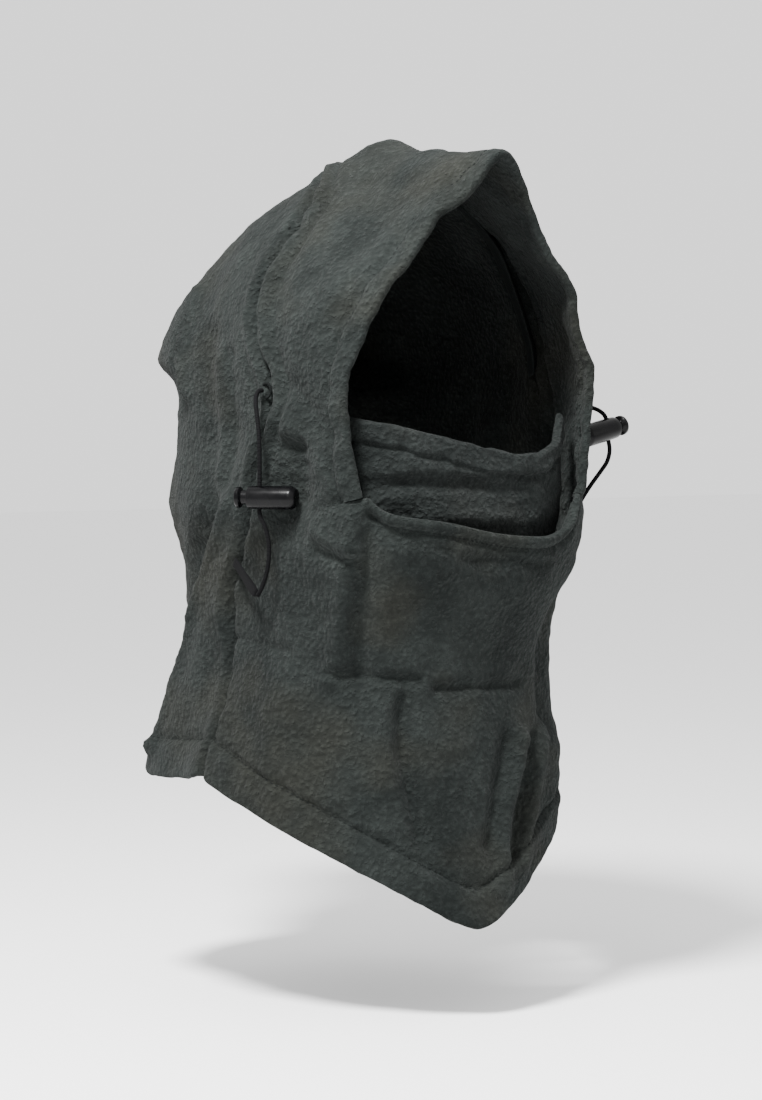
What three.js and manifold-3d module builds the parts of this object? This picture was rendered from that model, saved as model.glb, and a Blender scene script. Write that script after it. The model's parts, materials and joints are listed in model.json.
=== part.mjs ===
// A fleece balaclava: a hood with a face opening, a bib over the chest and neck, a raised half mask inside the
// opening, and one elastic drawcord that runs over the crown and comes out at each temple through a cord lock.
// Millimetres. The origin is the middle of the wearer's head, +Z is up, the wearer faces -Y, +X is the wearer's left.
// Every cloth panel lies on one smooth surface: a vault over the head that passes into rings round the neck.
import * as THREE from "three";
import { mergeVertices } from "three/addons/utils/BufferGeometryUtils.js";
import Module from "manifold-3d";

const wasm = await Module();
wasm.setup();

// ---- Driving dimensions ----

const CLOTH = 2.2; // one layer of fleece
const TAPE = 0.8; // the casing tape
const SEAM_GAP = 0.35; // each panel stops this far short of a seam line
const LAYER_GAP = 0.9; // between two layers of cloth
const HEM_WIDTH = 22; // bib and cape
const OPENING_HEM = 13;
const THREAD = 0.7; // diameter of a row of stitching
const SIDES = [
  { side: "right", sign: -1 },
  { side: "left", sign: 1 },
];

// The vault over the head.
const HEAD = {
  halfWidth: 95,
  middleY: 10,
  back: 128, // from the middle to the back of the hood
  taper: 0.3, // share of the width lost towards the brim
  taperLength: 110,
  planPower: 2.6,
  domePower: 2.08,
  brimPower: 1.5, // the dome's section at the brim, which is nearly a pointed arch
};
const CROWN = { height: 122, ridge: 6, ridgeWidth: 30, peak: 11, peakY: 4, peakLength: 24 };
// The slack that hangs over the nape.
const BULGE = { depth: 66, height: 24, halfWidth: 88, above: 39, below: 13 };
// The hollow beside the closed end of each cord lock.
const DENT = { depth: 8, y: -40, z: -46, length: 17, height: 30 };
const BLEND_DEPTH = 60; // how far below the head's middle the vault turns into rings

// Rings round the neck and chest, from the head's middle down.
const RINGS = [
  { z: 0, half: 95, middle: 10, front: -92, back: 150, power: 3 },
  { z: -56, half: 95, middle: 8, front: -91, back: 156, power: 3 },
  { z: -75, half: 95, middle: 9, front: -89, back: 152, power: 2.9 },
  { z: -100, half: 95, middle: 12, front: -83, back: 147, power: 2.6 },
  { z: -140, half: 96, middle: 17, front: -71, back: 140, power: 2.3 },
  { z: -205, half: 107, middle: 26, front: -73, back: 150, power: 2 },
  { z: -290, half: 106, middle: 30, front: -81, back: 142, power: 2 },
];

// Edge of the face opening, up the wearer's right side to the middle of the brim.
const OPENING = [
  [-71, -75, -52],
  [-74, -72, -24],
  [-74, -71, 5],
  [-69, -76, 33],
  [-58, -82, 57],
  [-46, -88, 80],
  [-35, -92, 99],
  [-20, -95, 114],
  [0, -99, 124],
];

// Seam behind the face band: from the bottom hem up the wearer's right side to the top of the crown.
const SEAM = [
  [-106, 25, -205],
  [-100, 22, -172],
  [-96, 22, -138],
  [-95, 17, -101],
  [-95, 2, -70],
  [-94, -9, -34],
  [-94, -16, 0],
  [-91, -5, 34],
  [-85, 1, 66],
  [-70, 0, 94],
  [-46, 8, 113],
  [-22, 28, 122],
  [0, 44, 126],
];
const BAND_START = 4; // the point of SEAM where the face band begins
const EXIT_POINT = 6; // the point of SEAM where the cord comes out

// Middle of the back, level by level with SEAM.
const BACK_LINE = [
  [0, 150, -222],
  [0, 144, -178],
  [0, 140, -138],
  [0, 147, -100],
  [0, 155, -62],
  [0, 152, -28],
  [0, 148, -3],
  [0, 195, 17],
  [0, 198, 38],
  [0, 165, 64],
  [0, 122, 90],
  [0, 80, 112],
  [0, 44, 126],
];

const BIB = {
  cornerShare: 0.47, // where the opening's lower corner stands between the front and the side seam
  cornerZ: -52,
  lipZ: -70, // the opening's lower edge at the middle
  lipPower: 6,
  lipTilt: -30, // the lower edge droops towards the wearer's left
  seamTopZ: -70,
  sideZ: -205, // bottom hem at the side seam
  middleZ: -284, // bottom hem at its lowest
  hemPower: 0.8,
  hemRound: 0.1,
};
const MASK = { inset: 10, endShare: 0.6, hemShare: 0.57, topMiddleZ: -29, topEndZ: -13, bottomZ: -86, tilt: -32 };

const CORD = { radius: 1.2, sides: 8, exitRadius: 2.8 };
// The free cord of each side, from the exit in the seam down through the lock to its tab.
const FREE_CORD = {
  right: [
    [-94.8, -16.2, 0],
    [-97.6, -16.6, -0.5],
    [-100.2, -18.2, -3.6],
    [-101.8, -21, -9],
    [-102.7, -24, -16],
    [-103, -26, -24],
    [-103, -26.5, -33],
    [-103, -26.5, -57],
    [-103, -26.6, -66],
    [-101.2, -28.6, -72],
    [-99.4, -29.6, -80],
    [-98.8, -29, -89],
    [-98.6, -26, -98],
    [-98.6, -21, -106],
    [-98.8, -17.3, -110],
  ],
  left: [
    [94.8, -16.2, 0],
    [97.8, -18, -0.6],
    [100.6, -23, -2.6],
    [103.6, -29.5, -5.6],
    [107.6, -36.6, -9.6],
    [110.9, -41.6, -12],
    [113.2, -44.4, -15.7],
    [114.5, -44.1, -22.6],
    [115.6, -43.9, -28.5],
    [116.7, -43.6, -34.4],
    [116.2, -42, -40.5],
    [113.8, -39.4, -46],
    [108.6, -34.6, -56],
    [103.8, -29.6, -68],
    [100.4, -25.6, -82],
    [98.8, -22.8, -95],
    [98.6, -20.2, -104.5],
    [98.8, -17.3, -110],
  ],
};

// Cord lock, along its own X from the open end of the barrel; the cord crosses it along Z.
const LOCK = {
  length: 27,
  openRadius: 6,
  bodyRadius: 6.3,
  closedRadius: 4.6,
  boreRadius: 4.2,
  boreDepth: 24,
  holeX: 6,
  holeRadius: 2.1,
  stemRadius: 3.8,
  stemEnd: 12,
  neckStart: -4,
  headStart: -7,
  headRadius: 5.6,
  slotStart: 0.4,
  slotEnd: 7.9,
  slotHalfWidth: 1.7,
};
// Where each lock's cord hole is, and which way the barrel points from its open end to its closed end.
const LOCK_PLACE = {
  right: { at: [-103, -26.5, -57], aim: [0.63, -0.777, 0] },
  left: { at: [114.5, -44.1, -22.6], aim: [-0.96, -0.2, -0.19] },
};
const SPRING = { radius: 2.9, wire: 0.3, turns: 6 };
const TAB = { width: 5, thickness: 1.1, root: [-97.6, 9, -93], end: [-98.6, -15.2, -109.4] };

// ---- Colours ----

const fleece = new THREE.MeshStandardMaterial({ color: 0x4b5251, roughness: 0.96, metalness: 0 });
const fleeceInside = new THREE.MeshStandardMaterial({ color: 0x3c4241, roughness: 0.97, metalness: 0 });
const thread = new THREE.MeshStandardMaterial({ color: 0x2c3130, roughness: 0.8, metalness: 0 });
const elastic = new THREE.MeshStandardMaterial({ color: 0x111213, roughness: 0.7, metalness: 0 });
const plastic = new THREE.MeshStandardMaterial({ color: 0x141516, roughness: 0.38, metalness: 0 });
const steel = new THREE.MeshStandardMaterial({ color: 0xb9bcc0, roughness: 0.3, metalness: 1 });

const balaclava = new THREE.Group();

// ---- Small helpers ----

const vector = (p) => new THREE.Vector3(p[0], p[1], p[2]);
const mirrored = (p) => [-p[0], p[1], p[2]];
const bell = (x) => Math.exp(-x * x);
const lerp = THREE.MathUtils.lerp;

function add(name, geometry, material) {
  const mesh = new THREE.Mesh(geometry, material);
  mesh.name = name;
  balaclava.add(mesh);
  return mesh;
}

// A curve up the right side, over the middle and down the left side.
function arch(points) {
  const left = points.slice(0, -1).reverse().map(mirrored);
  return new THREE.CatmullRomCurve3([...points, ...left].map(vector));
}

// A smooth value between the rings of the table at height z.
function ringValue(key, z) {
  let i = 0;
  while (i < RINGS.length - 2 && z < RINGS[i + 1].z) i += 1;
  const slope = (j) => {
    const a = RINGS[Math.max(0, j - 1)];
    const b = RINGS[Math.min(RINGS.length - 1, j + 1)];
    return (b[key] - a[key]) / (b.z - a.z);
  };
  const [from, to] = [RINGS[i], RINGS[i + 1]];
  const span = to.z - from.z;
  const t = THREE.MathUtils.clamp((z - from.z) / span, 0, 1);
  const [t2, t3] = [t * t, t * t * t];
  return (
    (2 * t3 - 3 * t2 + 1) * from[key] +
    (t3 - 2 * t2 + t) * span * slope(i) +
    (3 * t2 - 2 * t3) * to[key] +
    (t3 - t2) * span * slope(i + 1)
  );
}

// ---- The surface that the cloth lies on ----

function crownHeight(x, y) {
  const ridge = bell(x / CROWN.ridgeWidth);
  const peak = CROWN.peak * bell((y - CROWN.peakY) / CROWN.peakLength);
  return CROWN.height + ridge * (CROWN.ridge + peak);
}

function napeBulge(x, z) {
  const reach = z > BULGE.height ? BULGE.above : BULGE.below;
  return BULGE.depth * bell(x / BULGE.halfWidth) * bell((z - BULGE.height) / reach);
}

function lockDent(y, z) {
  return DENT.depth * bell((y - DENT.y) / DENT.length) * bell((z - DENT.z) / DENT.height);
}

// 1 on the vault, less inside it.
function vaultLevel(x, y, z) {
  const ahead = Math.max(0, HEAD.middleY - y) / HEAD.taperLength;
  const width = HEAD.halfWidth * (1 - HEAD.taper * ahead ** 1.5) - lockDent(y, z);
  const domePower = lerp(HEAD.domePower, HEAD.brimPower, THREE.MathUtils.smoothstep(ahead, 0, 1));
  const across = Math.abs(x) / width;
  const behind = Math.max(0, y - HEAD.middleY) / (HEAD.back + napeBulge(x, z));
  const plan = (across ** HEAD.planPower + behind ** HEAD.planPower) ** (domePower / HEAD.planPower);
  return plan + (Math.max(0, z) / crownHeight(x, y)) ** domePower;
}

// 1 on the ring at height z, less inside it.
function ringLevel({ x, y, z }, dent = lockDent(y, z)) {
  const middle = ringValue("middle", z);
  const isFront = y < middle;
  const depth = isFront ? middle - ringValue("front", z) : ringValue("back", z) - middle;
  const power = isFront ? ringValue("power", z) : HEAD.planPower;
  const half = ringValue("half", z) - dent;
  return (Math.abs(x) / half) ** power + (Math.abs(y - middle) / depth) ** power;
}

function hoodLevel(p) {
  if (p.z >= 0) return vaultLevel(p.x, p.y, p.z);
  const share = THREE.MathUtils.smoothstep(-p.z / BLEND_DEPTH, 0, 1);
  return lerp(vaultLevel(p.x, p.y, p.z), ringLevel(p), share);
}

// The surface point in the direction of p: from the middle of the head, or level with p below it.
function onSurface(p, level = hoodLevel) {
  const centre = p.z >= 0 ? new THREE.Vector3(0, HEAD.middleY, 0) : new THREE.Vector3(0, ringValue("middle", p.z), p.z);
  const ray = p.clone().sub(centre);
  let [low, high] = [0.3, 2.5];
  for (let i = 0; i < 30; i += 1) {
    const middle = (low + high) / 2;
    if (level(centre.clone().addScaledVector(ray, middle)) < 1) low = middle;
    else high = middle;
  }
  return centre.addScaledVector(ray, low);
}

function outward(p, level = hoodLevel) {
  const step = 1;
  const slope = (x, y, z) => level(p.clone().add(new THREE.Vector3(x, y, z)));
  return new THREE.Vector3(
    slope(step, 0, 0) - slope(-step, 0, 0),
    slope(0, step, 0) - slope(0, -step, 0),
    slope(0, 0, step) - slope(0, 0, -step),
  ).normalize();
}

// ---- Solids ----

function signedVolume(positions, index) {
  const [a, b, c] = [new THREE.Vector3(), new THREE.Vector3(), new THREE.Vector3()];
  let volume = 0;
  for (let i = 0; i < index.length; i += 3) {
    [a, b, c].forEach((corner, k) => corner.fromArray(positions, 3 * index[i + k]));
    volume += a.dot(b.cross(c)) / 6;
  }
  return volume;
}

// A closed layer of cloth from a point function over u and v: its outer face lies depth inside the surface.
function layer(point, countU, countV, depth, thickness, level = hoodLevel) {
  const positions = [];
  const index = [];
  const rows = countU + 1;
  const size = rows * (countV + 1);
  const grid = [];
  for (let j = 0; j <= countV; j += 1) {
    for (let i = 0; i <= countU; i += 1) {
      grid.push(point(i / countU, j / countV));
    }
  }
  const normals = grid.map((p) => outward(p, level));
  for (const inward of [depth, depth + thickness]) {
    grid.forEach((p, i) => positions.push(...p.clone().addScaledVector(normals[i], -inward)));
  }
  const quad = (a, b, c, d) => index.push(a, b, c, a, c, d);
  for (let j = 0; j < countV; j += 1) {
    for (let i = 0; i < countU; i += 1) {
      const a = j * rows + i;
      quad(a, a + 1, a + 1 + rows, a + rows);
      quad(size + a, size + a + rows, size + a + 1 + rows, size + a + 1);
    }
  }
  const rim = [];
  for (let i = 0; i < countU; i += 1) rim.push(i);
  for (let j = 0; j < countV; j += 1) rim.push(j * rows + countU);
  for (let i = countU; i > 0; i -= 1) rim.push(countV * rows + i);
  for (let j = countV; j > 0; j -= 1) rim.push(j * rows);
  rim.forEach((a, k) => {
    const b = rim[(k + 1) % rim.length];
    quad(a, size + a, size + b, b);
  });
  if (signedVolume(positions, index) < 0) index.reverse();
  const geometry = new THREE.BufferGeometry();
  geometry.setAttribute("position", new THREE.Float32BufferAttribute(positions, 3));
  geometry.setIndex(index);
  return geometry;
}

function tube(curve, radius, sides, steps) {
  const section = new THREE.Shape();
  for (let i = 0; i < sides; i += 1) {
    const angle = (2 * Math.PI * i) / sides;
    const corner = [radius * Math.cos(angle), radius * Math.sin(angle)];
    if (i === 0) section.moveTo(...corner);
    else section.lineTo(...corner);
  }
  section.closePath();
  return new THREE.ExtrudeGeometry(section, { steps, extrudePath: curve, curveSegments: 1 });
}

function solid(geometry) {
  const bare = geometry.clone();
  bare.deleteAttribute("normal");
  bare.deleteAttribute("uv");
  const merged = mergeVertices(bare, 1e-4);
  return new wasm.Manifold(
    new wasm.Mesh({
      numProp: 3,
      vertProperties: new Float32Array(merged.attributes.position.array),
      triVerts: new Uint32Array(merged.index.array),
    }),
  );
}

function geometryOf(manifold) {
  const mesh = manifold.getMesh();
  const geometry = new THREE.BufferGeometry();
  geometry.setAttribute("position", new THREE.Float32BufferAttribute(mesh.vertProperties, 3));
  geometry.setIndex([...mesh.triVerts]);
  return geometry;
}

function cut(geometry, ...tools) {
  return geometryOf(tools.reduce((rest, tool) => rest.subtract(solid(tool)), solid(geometry)));
}

// A cylinder or ring whose axis runs from one point towards another.
function aimed(geometry, at, direction) {
  const turn = new THREE.Quaternion().setFromUnitVectors(new THREE.Vector3(0, 1, 0), direction.clone().normalize());
  return geometry.clone().applyQuaternion(turn).translate(at.x, at.y, at.z);
}

// ---- Lines of the pattern ----

const openingCurve = arch(OPENING);
const seamCurve = arch(SEAM);
const backCurve = new THREE.CatmullRomCurve3(BACK_LINE.map(vector));
const seamSteps = 2 * (SEAM.length - 1);
const capeHemShare = (HEM_WIDTH / seamCurve.getLength()) * 2;

// The seam at a place along SEAM, counted in its points, on one side.
function seamAt(place, sign) {
  const p = seamCurve.getPoint(place / seamSteps);
  return onSurface(sign < 0 ? p : new THREE.Vector3(-p.x, p.y, p.z));
}

// A point between two ends that stays the seam gap away from both.
function between(a, b, share, margin = SEAM_GAP) {
  const inset = Math.min(0.4, margin / a.distanceTo(b));
  return onSurface(a.clone().lerp(b, lerp(inset, 1 - inset, share)));
}

// The face band: across from the opening to the seam, along from the right ear over the brim to the left ear.
function bandPoint(across, along) {
  const trim = 0.0035;
  const t = lerp(trim, 1 - trim, along);
  const place = lerp(BAND_START, seamSteps - BAND_START, t);
  return between(onSurface(openingCurve.getPoint(t)), onSurface(seamCurve.getPoint(place / seamSteps)), across);
}

// A side of the hood and cape: across from the seam to the middle of the back, along from the hem to the crown.
function sidePoint(sign, across, along, top = 0.985) {
  const place = along * top * (SEAM.length - 1);
  return between(seamAt(place, sign), onSurface(backCurve.getPoint(place / (BACK_LINE.length - 1))), across);
}

// Angle of the side seam round the neck, from straight ahead, at height z.
function seamAngle(z) {
  let [low, high] = [0, BAND_START + 1];
  for (let i = 0; i < 24; i += 1) {
    const middle = (low + high) / 2;
    if (seamAt(middle, 1).z < z) low = middle;
    else high = middle;
  }
  const p = seamAt(low, 1);
  return Math.atan2(p.x, ringValue("middle", z) - p.y);
}

function bibTop(share) {
  const s = Math.abs(share) / BIB.cornerShare;
  if (s > 1) {
    const t = ((s - 1) * BIB.cornerShare) / (1 - BIB.cornerShare);
    return lerp(BIB.cornerZ, BIB.seamTopZ, t);
  }
  return lerp(BIB.lipZ, BIB.cornerZ, s ** BIB.lipPower) + BIB.lipTilt * share * (1 - s * s);
}

function bibBottom(share) {
  const full = Math.hypot(1, BIB.hemRound) - BIB.hemRound;
  const rounded = (Math.hypot(share, BIB.hemRound) - BIB.hemRound) / full;
  return lerp(BIB.middleZ, BIB.sideZ, rounded ** BIB.hemPower);
}

// A point of the bib: share runs from -1 at the right seam to 1 at the left seam.
function bibPoint(share, z, level = ringLevel) {
  const limit = seamAngle(Math.max(z, BIB.sideZ)) - SEAM_GAP / HEAD.halfWidth;
  const angle = share * limit;
  const middle = ringValue("middle", z);
  return onSurface(new THREE.Vector3(100 * Math.sin(angle), middle - 100 * Math.cos(angle), z), level);
}

function maskTop(share) {
  const s = Math.abs(share) / MASK.endShare;
  return lerp(MASK.topMiddleZ, MASK.topEndZ, s ** 3) + MASK.tilt * share * (1 - s * s);
}

// ---- Panels ----

function exitHole(sign) {
  const at = seamAt(EXIT_POINT, sign);
  return aimed(new THREE.CylinderGeometry(CORD.exitRadius, CORD.exitRadius, 14, 16), at, outward(at));
}

// Share of the band's width that its hem takes.
function openingHemShare(along) {
  return OPENING_HEM / bandPoint(0, along).distanceTo(bandPoint(1, along));
}

function makeFaceBand() {
  const band = layer((u, v) => bandPoint(u, v), 6, 52, 0, CLOTH);
  add("face_band", cut(band, exitHole(-1), exitHole(1)), fleece);
  const hem = layer((u, v) => bandPoint(u * openingHemShare(v), v), 2, 52, CLOTH + LAYER_GAP, CLOTH);
  add("face_band_hem", hem, fleeceInside);
}

function makeHoodSide({ side, sign }) {
  const panel = layer((u, v) => sidePoint(sign, u, v), 10, 32, 0, CLOTH);
  add("hood_side_" + side, cut(panel, exitHole(sign)), fleece);
  const hem = layer((u, v) => sidePoint(sign, u, v, capeHemShare), 10, 1, CLOTH + LAYER_GAP, CLOTH);
  add("cape_hem_" + side, hem, fleeceInside);
}

// A strip along an edge of the bib: edge gives the height of its lower side.
function bibStrip(count, reach, edge, height) {
  const point = (u, v) => {
    const share = (2 * u - 1) * reach;
    return bibPoint(share, edge(share) + v * height);
  };
  return layer(point, count, 1, CLOTH + LAYER_GAP, CLOTH, ringLevel);
}

function makeBib() {
  const top = (share) => bibTop(share) - 2 * SEAM_GAP;
  const face = (u, v) => {
    const share = 2 * u - 1;
    return bibPoint(share, lerp(bibBottom(share), top(share), v));
  };
  add("chest_panel", layer(face, 30, 10, 0, CLOTH, ringLevel), fleece);
  add("chest_hem", bibStrip(30, 1, bibBottom, HEM_WIDTH), fleeceInside);
  const reach = BIB.cornerShare - 0.02;
  add("chest_top_hem", bibStrip(16, reach, (share) => top(share) - OPENING_HEM, OPENING_HEM), fleeceInside);
}

// The rings without the hollows beside the cord locks.
function maskLevel(p) {
  return ringLevel(p, 0);
}

function makeMask() {
  const face = (u, v) => {
    const share = (2 * u - 1) * MASK.endShare;
    return bibPoint(share, lerp(MASK.bottomZ, maskTop(share), v), maskLevel);
  };
  add("mask_panel", layer(face, 22, 4, MASK.inset, CLOTH, maskLevel), fleeceInside);
  const hem = (u, v) => {
    const share = (2 * u - 1) * MASK.hemShare;
    return bibPoint(share, maskTop(share) - (1 - v) * OPENING_HEM, maskLevel);
  };
  add("mask_hem", layer(hem, 22, 1, MASK.inset + CLOTH + LAYER_GAP, CLOTH, maskLevel), fleeceInside);
}

// ---- Drawcord, its casing and its tabs ----

function makeCasing() {
  const steps = 44;
  const halfWidth = 6;
  const start = EXIT_POINT + 0.25;
  const point = (u, v) => {
    const place = lerp(start, seamSteps - start, v);
    const at = onSurface(seamCurve.getPoint(place / seamSteps));
    const along = seamCurve.getTangent(place / seamSteps);
    const across = outward(at).cross(along).normalize();
    return at.addScaledVector(across, lerp(-halfWidth, halfWidth, u));
  };
  add("drawcord_casing", layer(point, 1, steps, CLOTH + 2 * CORD.radius + 2 * LAYER_GAP, TAPE), thread);
}

// The cord inside the casing, from the right exit over the crown to the left exit.
function makeCrownCord() {
  const depth = CLOTH + LAYER_GAP + CORD.radius;
  const points = [];
  const start = EXIT_POINT + 0.22;
  const count = 24;
  for (let i = 0; i <= count; i += 1) {
    const place = lerp(start, seamSteps - start, i / count);
    const at = onSurface(seamCurve.getPoint(place / seamSteps));
    points.push(at.addScaledVector(outward(at), -depth));
  }
  const curve = new THREE.CatmullRomCurve3(points);
  add("drawcord_crown", tube(curve, CORD.radius, CORD.sides, 56), elastic);
}

function makeFreeCord({ side }) {
  const curve = new THREE.CatmullRomCurve3(FREE_CORD[side].map(vector));
  add("drawcord_" + side, tube(curve, CORD.radius, CORD.sides, 40), elastic);
}

// A stitched ring round the hole that the cord leaves by.
function makeExitRing({ side, sign }) {
  const [inner, outer, low, high] = [3.1, 4.7, 0.5, 1.2];
  const profile = [
    [inner, low],
    [outer, low],
    [outer, high],
    [inner, high],
    [inner, low],
  ].map((p) => new THREE.Vector2(...p));
  const at = seamAt(EXIT_POINT, sign);
  const ring = aimed(new THREE.LatheGeometry(profile, 14), at, outward(at));
  add("cord_exit_ring_" + side, ring, thread);
}

// A flat tab, sewn into the seam at its root, that ends in a clamp round the end of the cord.
function makeTab({ side, sign }) {
  const mirror = (p) => vector(sign < 0 ? p : mirrored(p));
  const [root, end] = [mirror(TAB.root), mirror(TAB.end)];
  const along = end.clone().sub(root);
  const tab = new THREE.BoxGeometry(TAB.thickness, TAB.width, along.length());
  const mesh = add("cord_tab_" + side, tab, plastic);
  mesh.position.copy(root).lerp(end, 0.5);
  const axisZ = along.clone().normalize();
  const axisX = new THREE.Vector3(1, 0, 0).projectOnPlane(axisZ).normalize();
  mesh.setRotationFromMatrix(new THREE.Matrix4().makeBasis(axisX, axisZ.clone().cross(axisX), axisZ));
}

// ---- Cord lock ----

function makeBarrel() {
  const profile = [
    [LOCK.boreRadius, 0],
    [LOCK.openRadius, 0],
    [LOCK.openRadius + 0.2, 3],
    [LOCK.bodyRadius, 9],
    [LOCK.bodyRadius, LOCK.length - 2.5],
    [LOCK.closedRadius, LOCK.length],
    [0, LOCK.length],
    [0, LOCK.boreDepth],
    [LOCK.boreRadius, LOCK.boreDepth],
    [LOCK.boreRadius, 0],
  ].map((p) => new THREE.Vector2(...p));
  const barrel = new THREE.LatheGeometry(profile, 20).rotateZ(-Math.PI / 2);
  const hole = new THREE.CylinderGeometry(LOCK.holeRadius, LOCK.holeRadius, 16, 12).rotateX(Math.PI / 2);
  return cut(barrel, hole.translate(LOCK.holeX, 0, 0));
}

function makePlunger() {
  const profile = [
    [0, LOCK.headStart],
    [LOCK.headRadius - 0.7, LOCK.headStart],
    [LOCK.headRadius, LOCK.headStart + 0.7],
    [LOCK.headRadius, LOCK.neckStart - 0.6],
    [LOCK.stemRadius, LOCK.neckStart],
    [LOCK.stemRadius, LOCK.stemEnd],
    [0, LOCK.stemEnd],
  ].map((p) => new THREE.Vector2(...p));
  const plunger = new THREE.LatheGeometry(profile, 16).rotateZ(-Math.PI / 2);
  const slot = new THREE.BoxGeometry(LOCK.slotEnd - LOCK.slotStart, 2 * LOCK.slotHalfWidth, 16);
  return cut(plunger, slot.translate((LOCK.slotStart + LOCK.slotEnd) / 2, 0, 0));
}

function makeSpring() {
  const [start, end] = [LOCK.stemEnd + 0.5, LOCK.boreDepth - 0.5];
  const points = [];
  const perTurn = 8;
  for (let i = 0; i <= SPRING.turns * perTurn; i += 1) {
    const angle = (2 * Math.PI * i) / perTurn;
    const x = lerp(start, end, i / (SPRING.turns * perTurn));
    points.push(new THREE.Vector3(x, SPRING.radius * Math.cos(angle), SPRING.radius * Math.sin(angle)));
  }
  return tube(new THREE.CatmullRomCurve3(points), SPRING.wire, 5, SPRING.turns * perTurn);
}

function makeLock({ side }) {
  const aim = vector(LOCK_PLACE[side].aim).normalize();
  const across = new THREE.Vector3(0, 0, 1).cross(aim).normalize();
  const group = new THREE.Group();
  group.setRotationFromMatrix(new THREE.Matrix4().makeBasis(aim, across, aim.clone().cross(across)));
  group.position.copy(vector(LOCK_PLACE[side].at)).addScaledVector(aim, -LOCK.holeX);
  const pieces = [
    ["lock_barrel_", makeBarrel(), plastic],
    ["lock_plunger_", makePlunger(), plastic],
    ["lock_spring_", makeSpring(), steel],
  ];
  for (const [name, geometry, material] of pieces) {
    group.add(add(name + side, geometry, material));
  }
  balaclava.add(group);
}

// ---- Rows of stitching ----

function stitchRow(name, points, closed = false) {
  const raised = points.map((p) => p.clone().addScaledVector(outward(p), 0.3 + THREAD / 2));
  const curve = new THREE.CatmullRomCurve3(raised, closed);
  add(name, tube(curve, THREAD / 2, 4, points.length * 2), thread);
}

function along(count, point) {
  return Array.from({ length: count + 1 }, (_, i) => point(i / count));
}

function makeStitching() {
  stitchRow("opening_stitching", along(32, (t) => bandPoint(openingHemShare(t), t)));
  stitchRow("chest_top_stitching", along(14, (t) => {
    const share = (2 * t - 1) * (BIB.cornerShare - 0.01);
    return bibPoint(share, bibTop(share) - 7);
  }));
  stitchRow("chest_hem_stitching", along(28, (t) => {
    const share = (2 * t - 1) * 0.96;
    return bibPoint(share, bibBottom(share) + HEM_WIDTH);
  }));
  for (const { side, sign } of SIDES) {
    stitchRow("cape_hem_stitching_" + side, along(14, (t) => sidePoint(sign, 0.02 + 0.96 * t, 1, capeHemShare)));
    stitchRow("side_seam_stitching_" + side, along(20, (t) => {
      const place = lerp(0.2, EXIT_POINT - 0.5, t);
      const at = seamAt(place, sign);
      return onSurface(at.add(new THREE.Vector3(0, -4, 0)));
    }));
  }
}

makeFaceBand();
SIDES.forEach(makeHoodSide);
makeBib();
makeMask();
makeCasing();
makeCrownCord();
SIDES.forEach(makeFreeCord);
SIDES.forEach(makeExitRing);
SIDES.forEach(makeTab);
SIDES.forEach(makeLock);
makeStitching();

export default balaclava;
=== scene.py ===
import json
import math

import bmesh
import bpy
import numpy as np
from mathutils import Matrix, Vector

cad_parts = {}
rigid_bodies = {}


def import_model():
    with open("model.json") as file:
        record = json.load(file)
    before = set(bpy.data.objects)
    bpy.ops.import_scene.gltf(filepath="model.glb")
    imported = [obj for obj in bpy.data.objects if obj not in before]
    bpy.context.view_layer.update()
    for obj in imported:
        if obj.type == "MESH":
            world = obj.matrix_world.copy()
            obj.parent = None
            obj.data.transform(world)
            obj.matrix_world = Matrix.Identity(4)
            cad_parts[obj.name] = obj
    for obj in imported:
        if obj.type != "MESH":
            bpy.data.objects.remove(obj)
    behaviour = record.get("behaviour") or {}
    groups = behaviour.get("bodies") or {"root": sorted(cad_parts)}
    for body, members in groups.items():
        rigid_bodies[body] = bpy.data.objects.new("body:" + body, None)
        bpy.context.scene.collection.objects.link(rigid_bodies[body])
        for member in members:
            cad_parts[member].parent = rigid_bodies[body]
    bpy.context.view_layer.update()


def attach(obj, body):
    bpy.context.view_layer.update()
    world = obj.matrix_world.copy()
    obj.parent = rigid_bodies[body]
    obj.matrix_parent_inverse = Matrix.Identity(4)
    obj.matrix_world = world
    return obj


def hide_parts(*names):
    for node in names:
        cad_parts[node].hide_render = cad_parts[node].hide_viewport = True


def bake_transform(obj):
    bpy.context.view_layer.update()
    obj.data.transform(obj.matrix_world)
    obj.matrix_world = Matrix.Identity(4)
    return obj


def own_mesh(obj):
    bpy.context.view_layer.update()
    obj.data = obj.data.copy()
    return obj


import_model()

MM = 0.001

# ---- Camera, floor and light ----

CAMERA_AZIMUTH = math.radians(-33)
CAMERA_ELEVATION = math.radians(3)
CAMERA_DISTANCE = 1.9
CAMERA_LENS = 112
AIM_RIGHT = -0.0072  # where the middle of the frame lies from the head's middle
AIM_UP = -0.089
FLOOR_Z = -0.34


def camera_axes():
    """Right, up and back directions of the main camera."""
    a, e = CAMERA_AZIMUTH, CAMERA_ELEVATION
    back = Vector((math.sin(a) * math.cos(e), -math.cos(a) * math.cos(e), math.sin(e)))
    right = Vector((math.cos(a), math.sin(a), 0))
    return right, back.cross(right), back


def make_camera():
    right, up, back = camera_axes()
    data = bpy.data.cameras.new("camera")
    data.lens = CAMERA_LENS
    data.sensor_width = 36
    camera = bpy.data.objects.new("camera", data)
    bpy.context.collection.objects.link(camera)
    target = right * AIM_RIGHT + up * AIM_UP
    camera.matrix_world = Matrix.Translation(target + back * CAMERA_DISTANCE) @ Matrix(
        (right, up, back)
    ).transposed().to_4x4()
    bpy.context.scene.camera = camera


def make_area_light(name, location, target, size, power):
    data = bpy.data.lights.new(name, "AREA")
    data.shape = "DISK"
    data.size = size
    data.energy = power
    light = bpy.data.objects.new(name, data)
    light.location = location
    light.rotation_euler = (Vector(target) - Vector(location)).to_track_quat("-Z", "Y").to_euler()
    bpy.context.collection.objects.link(light)


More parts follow.
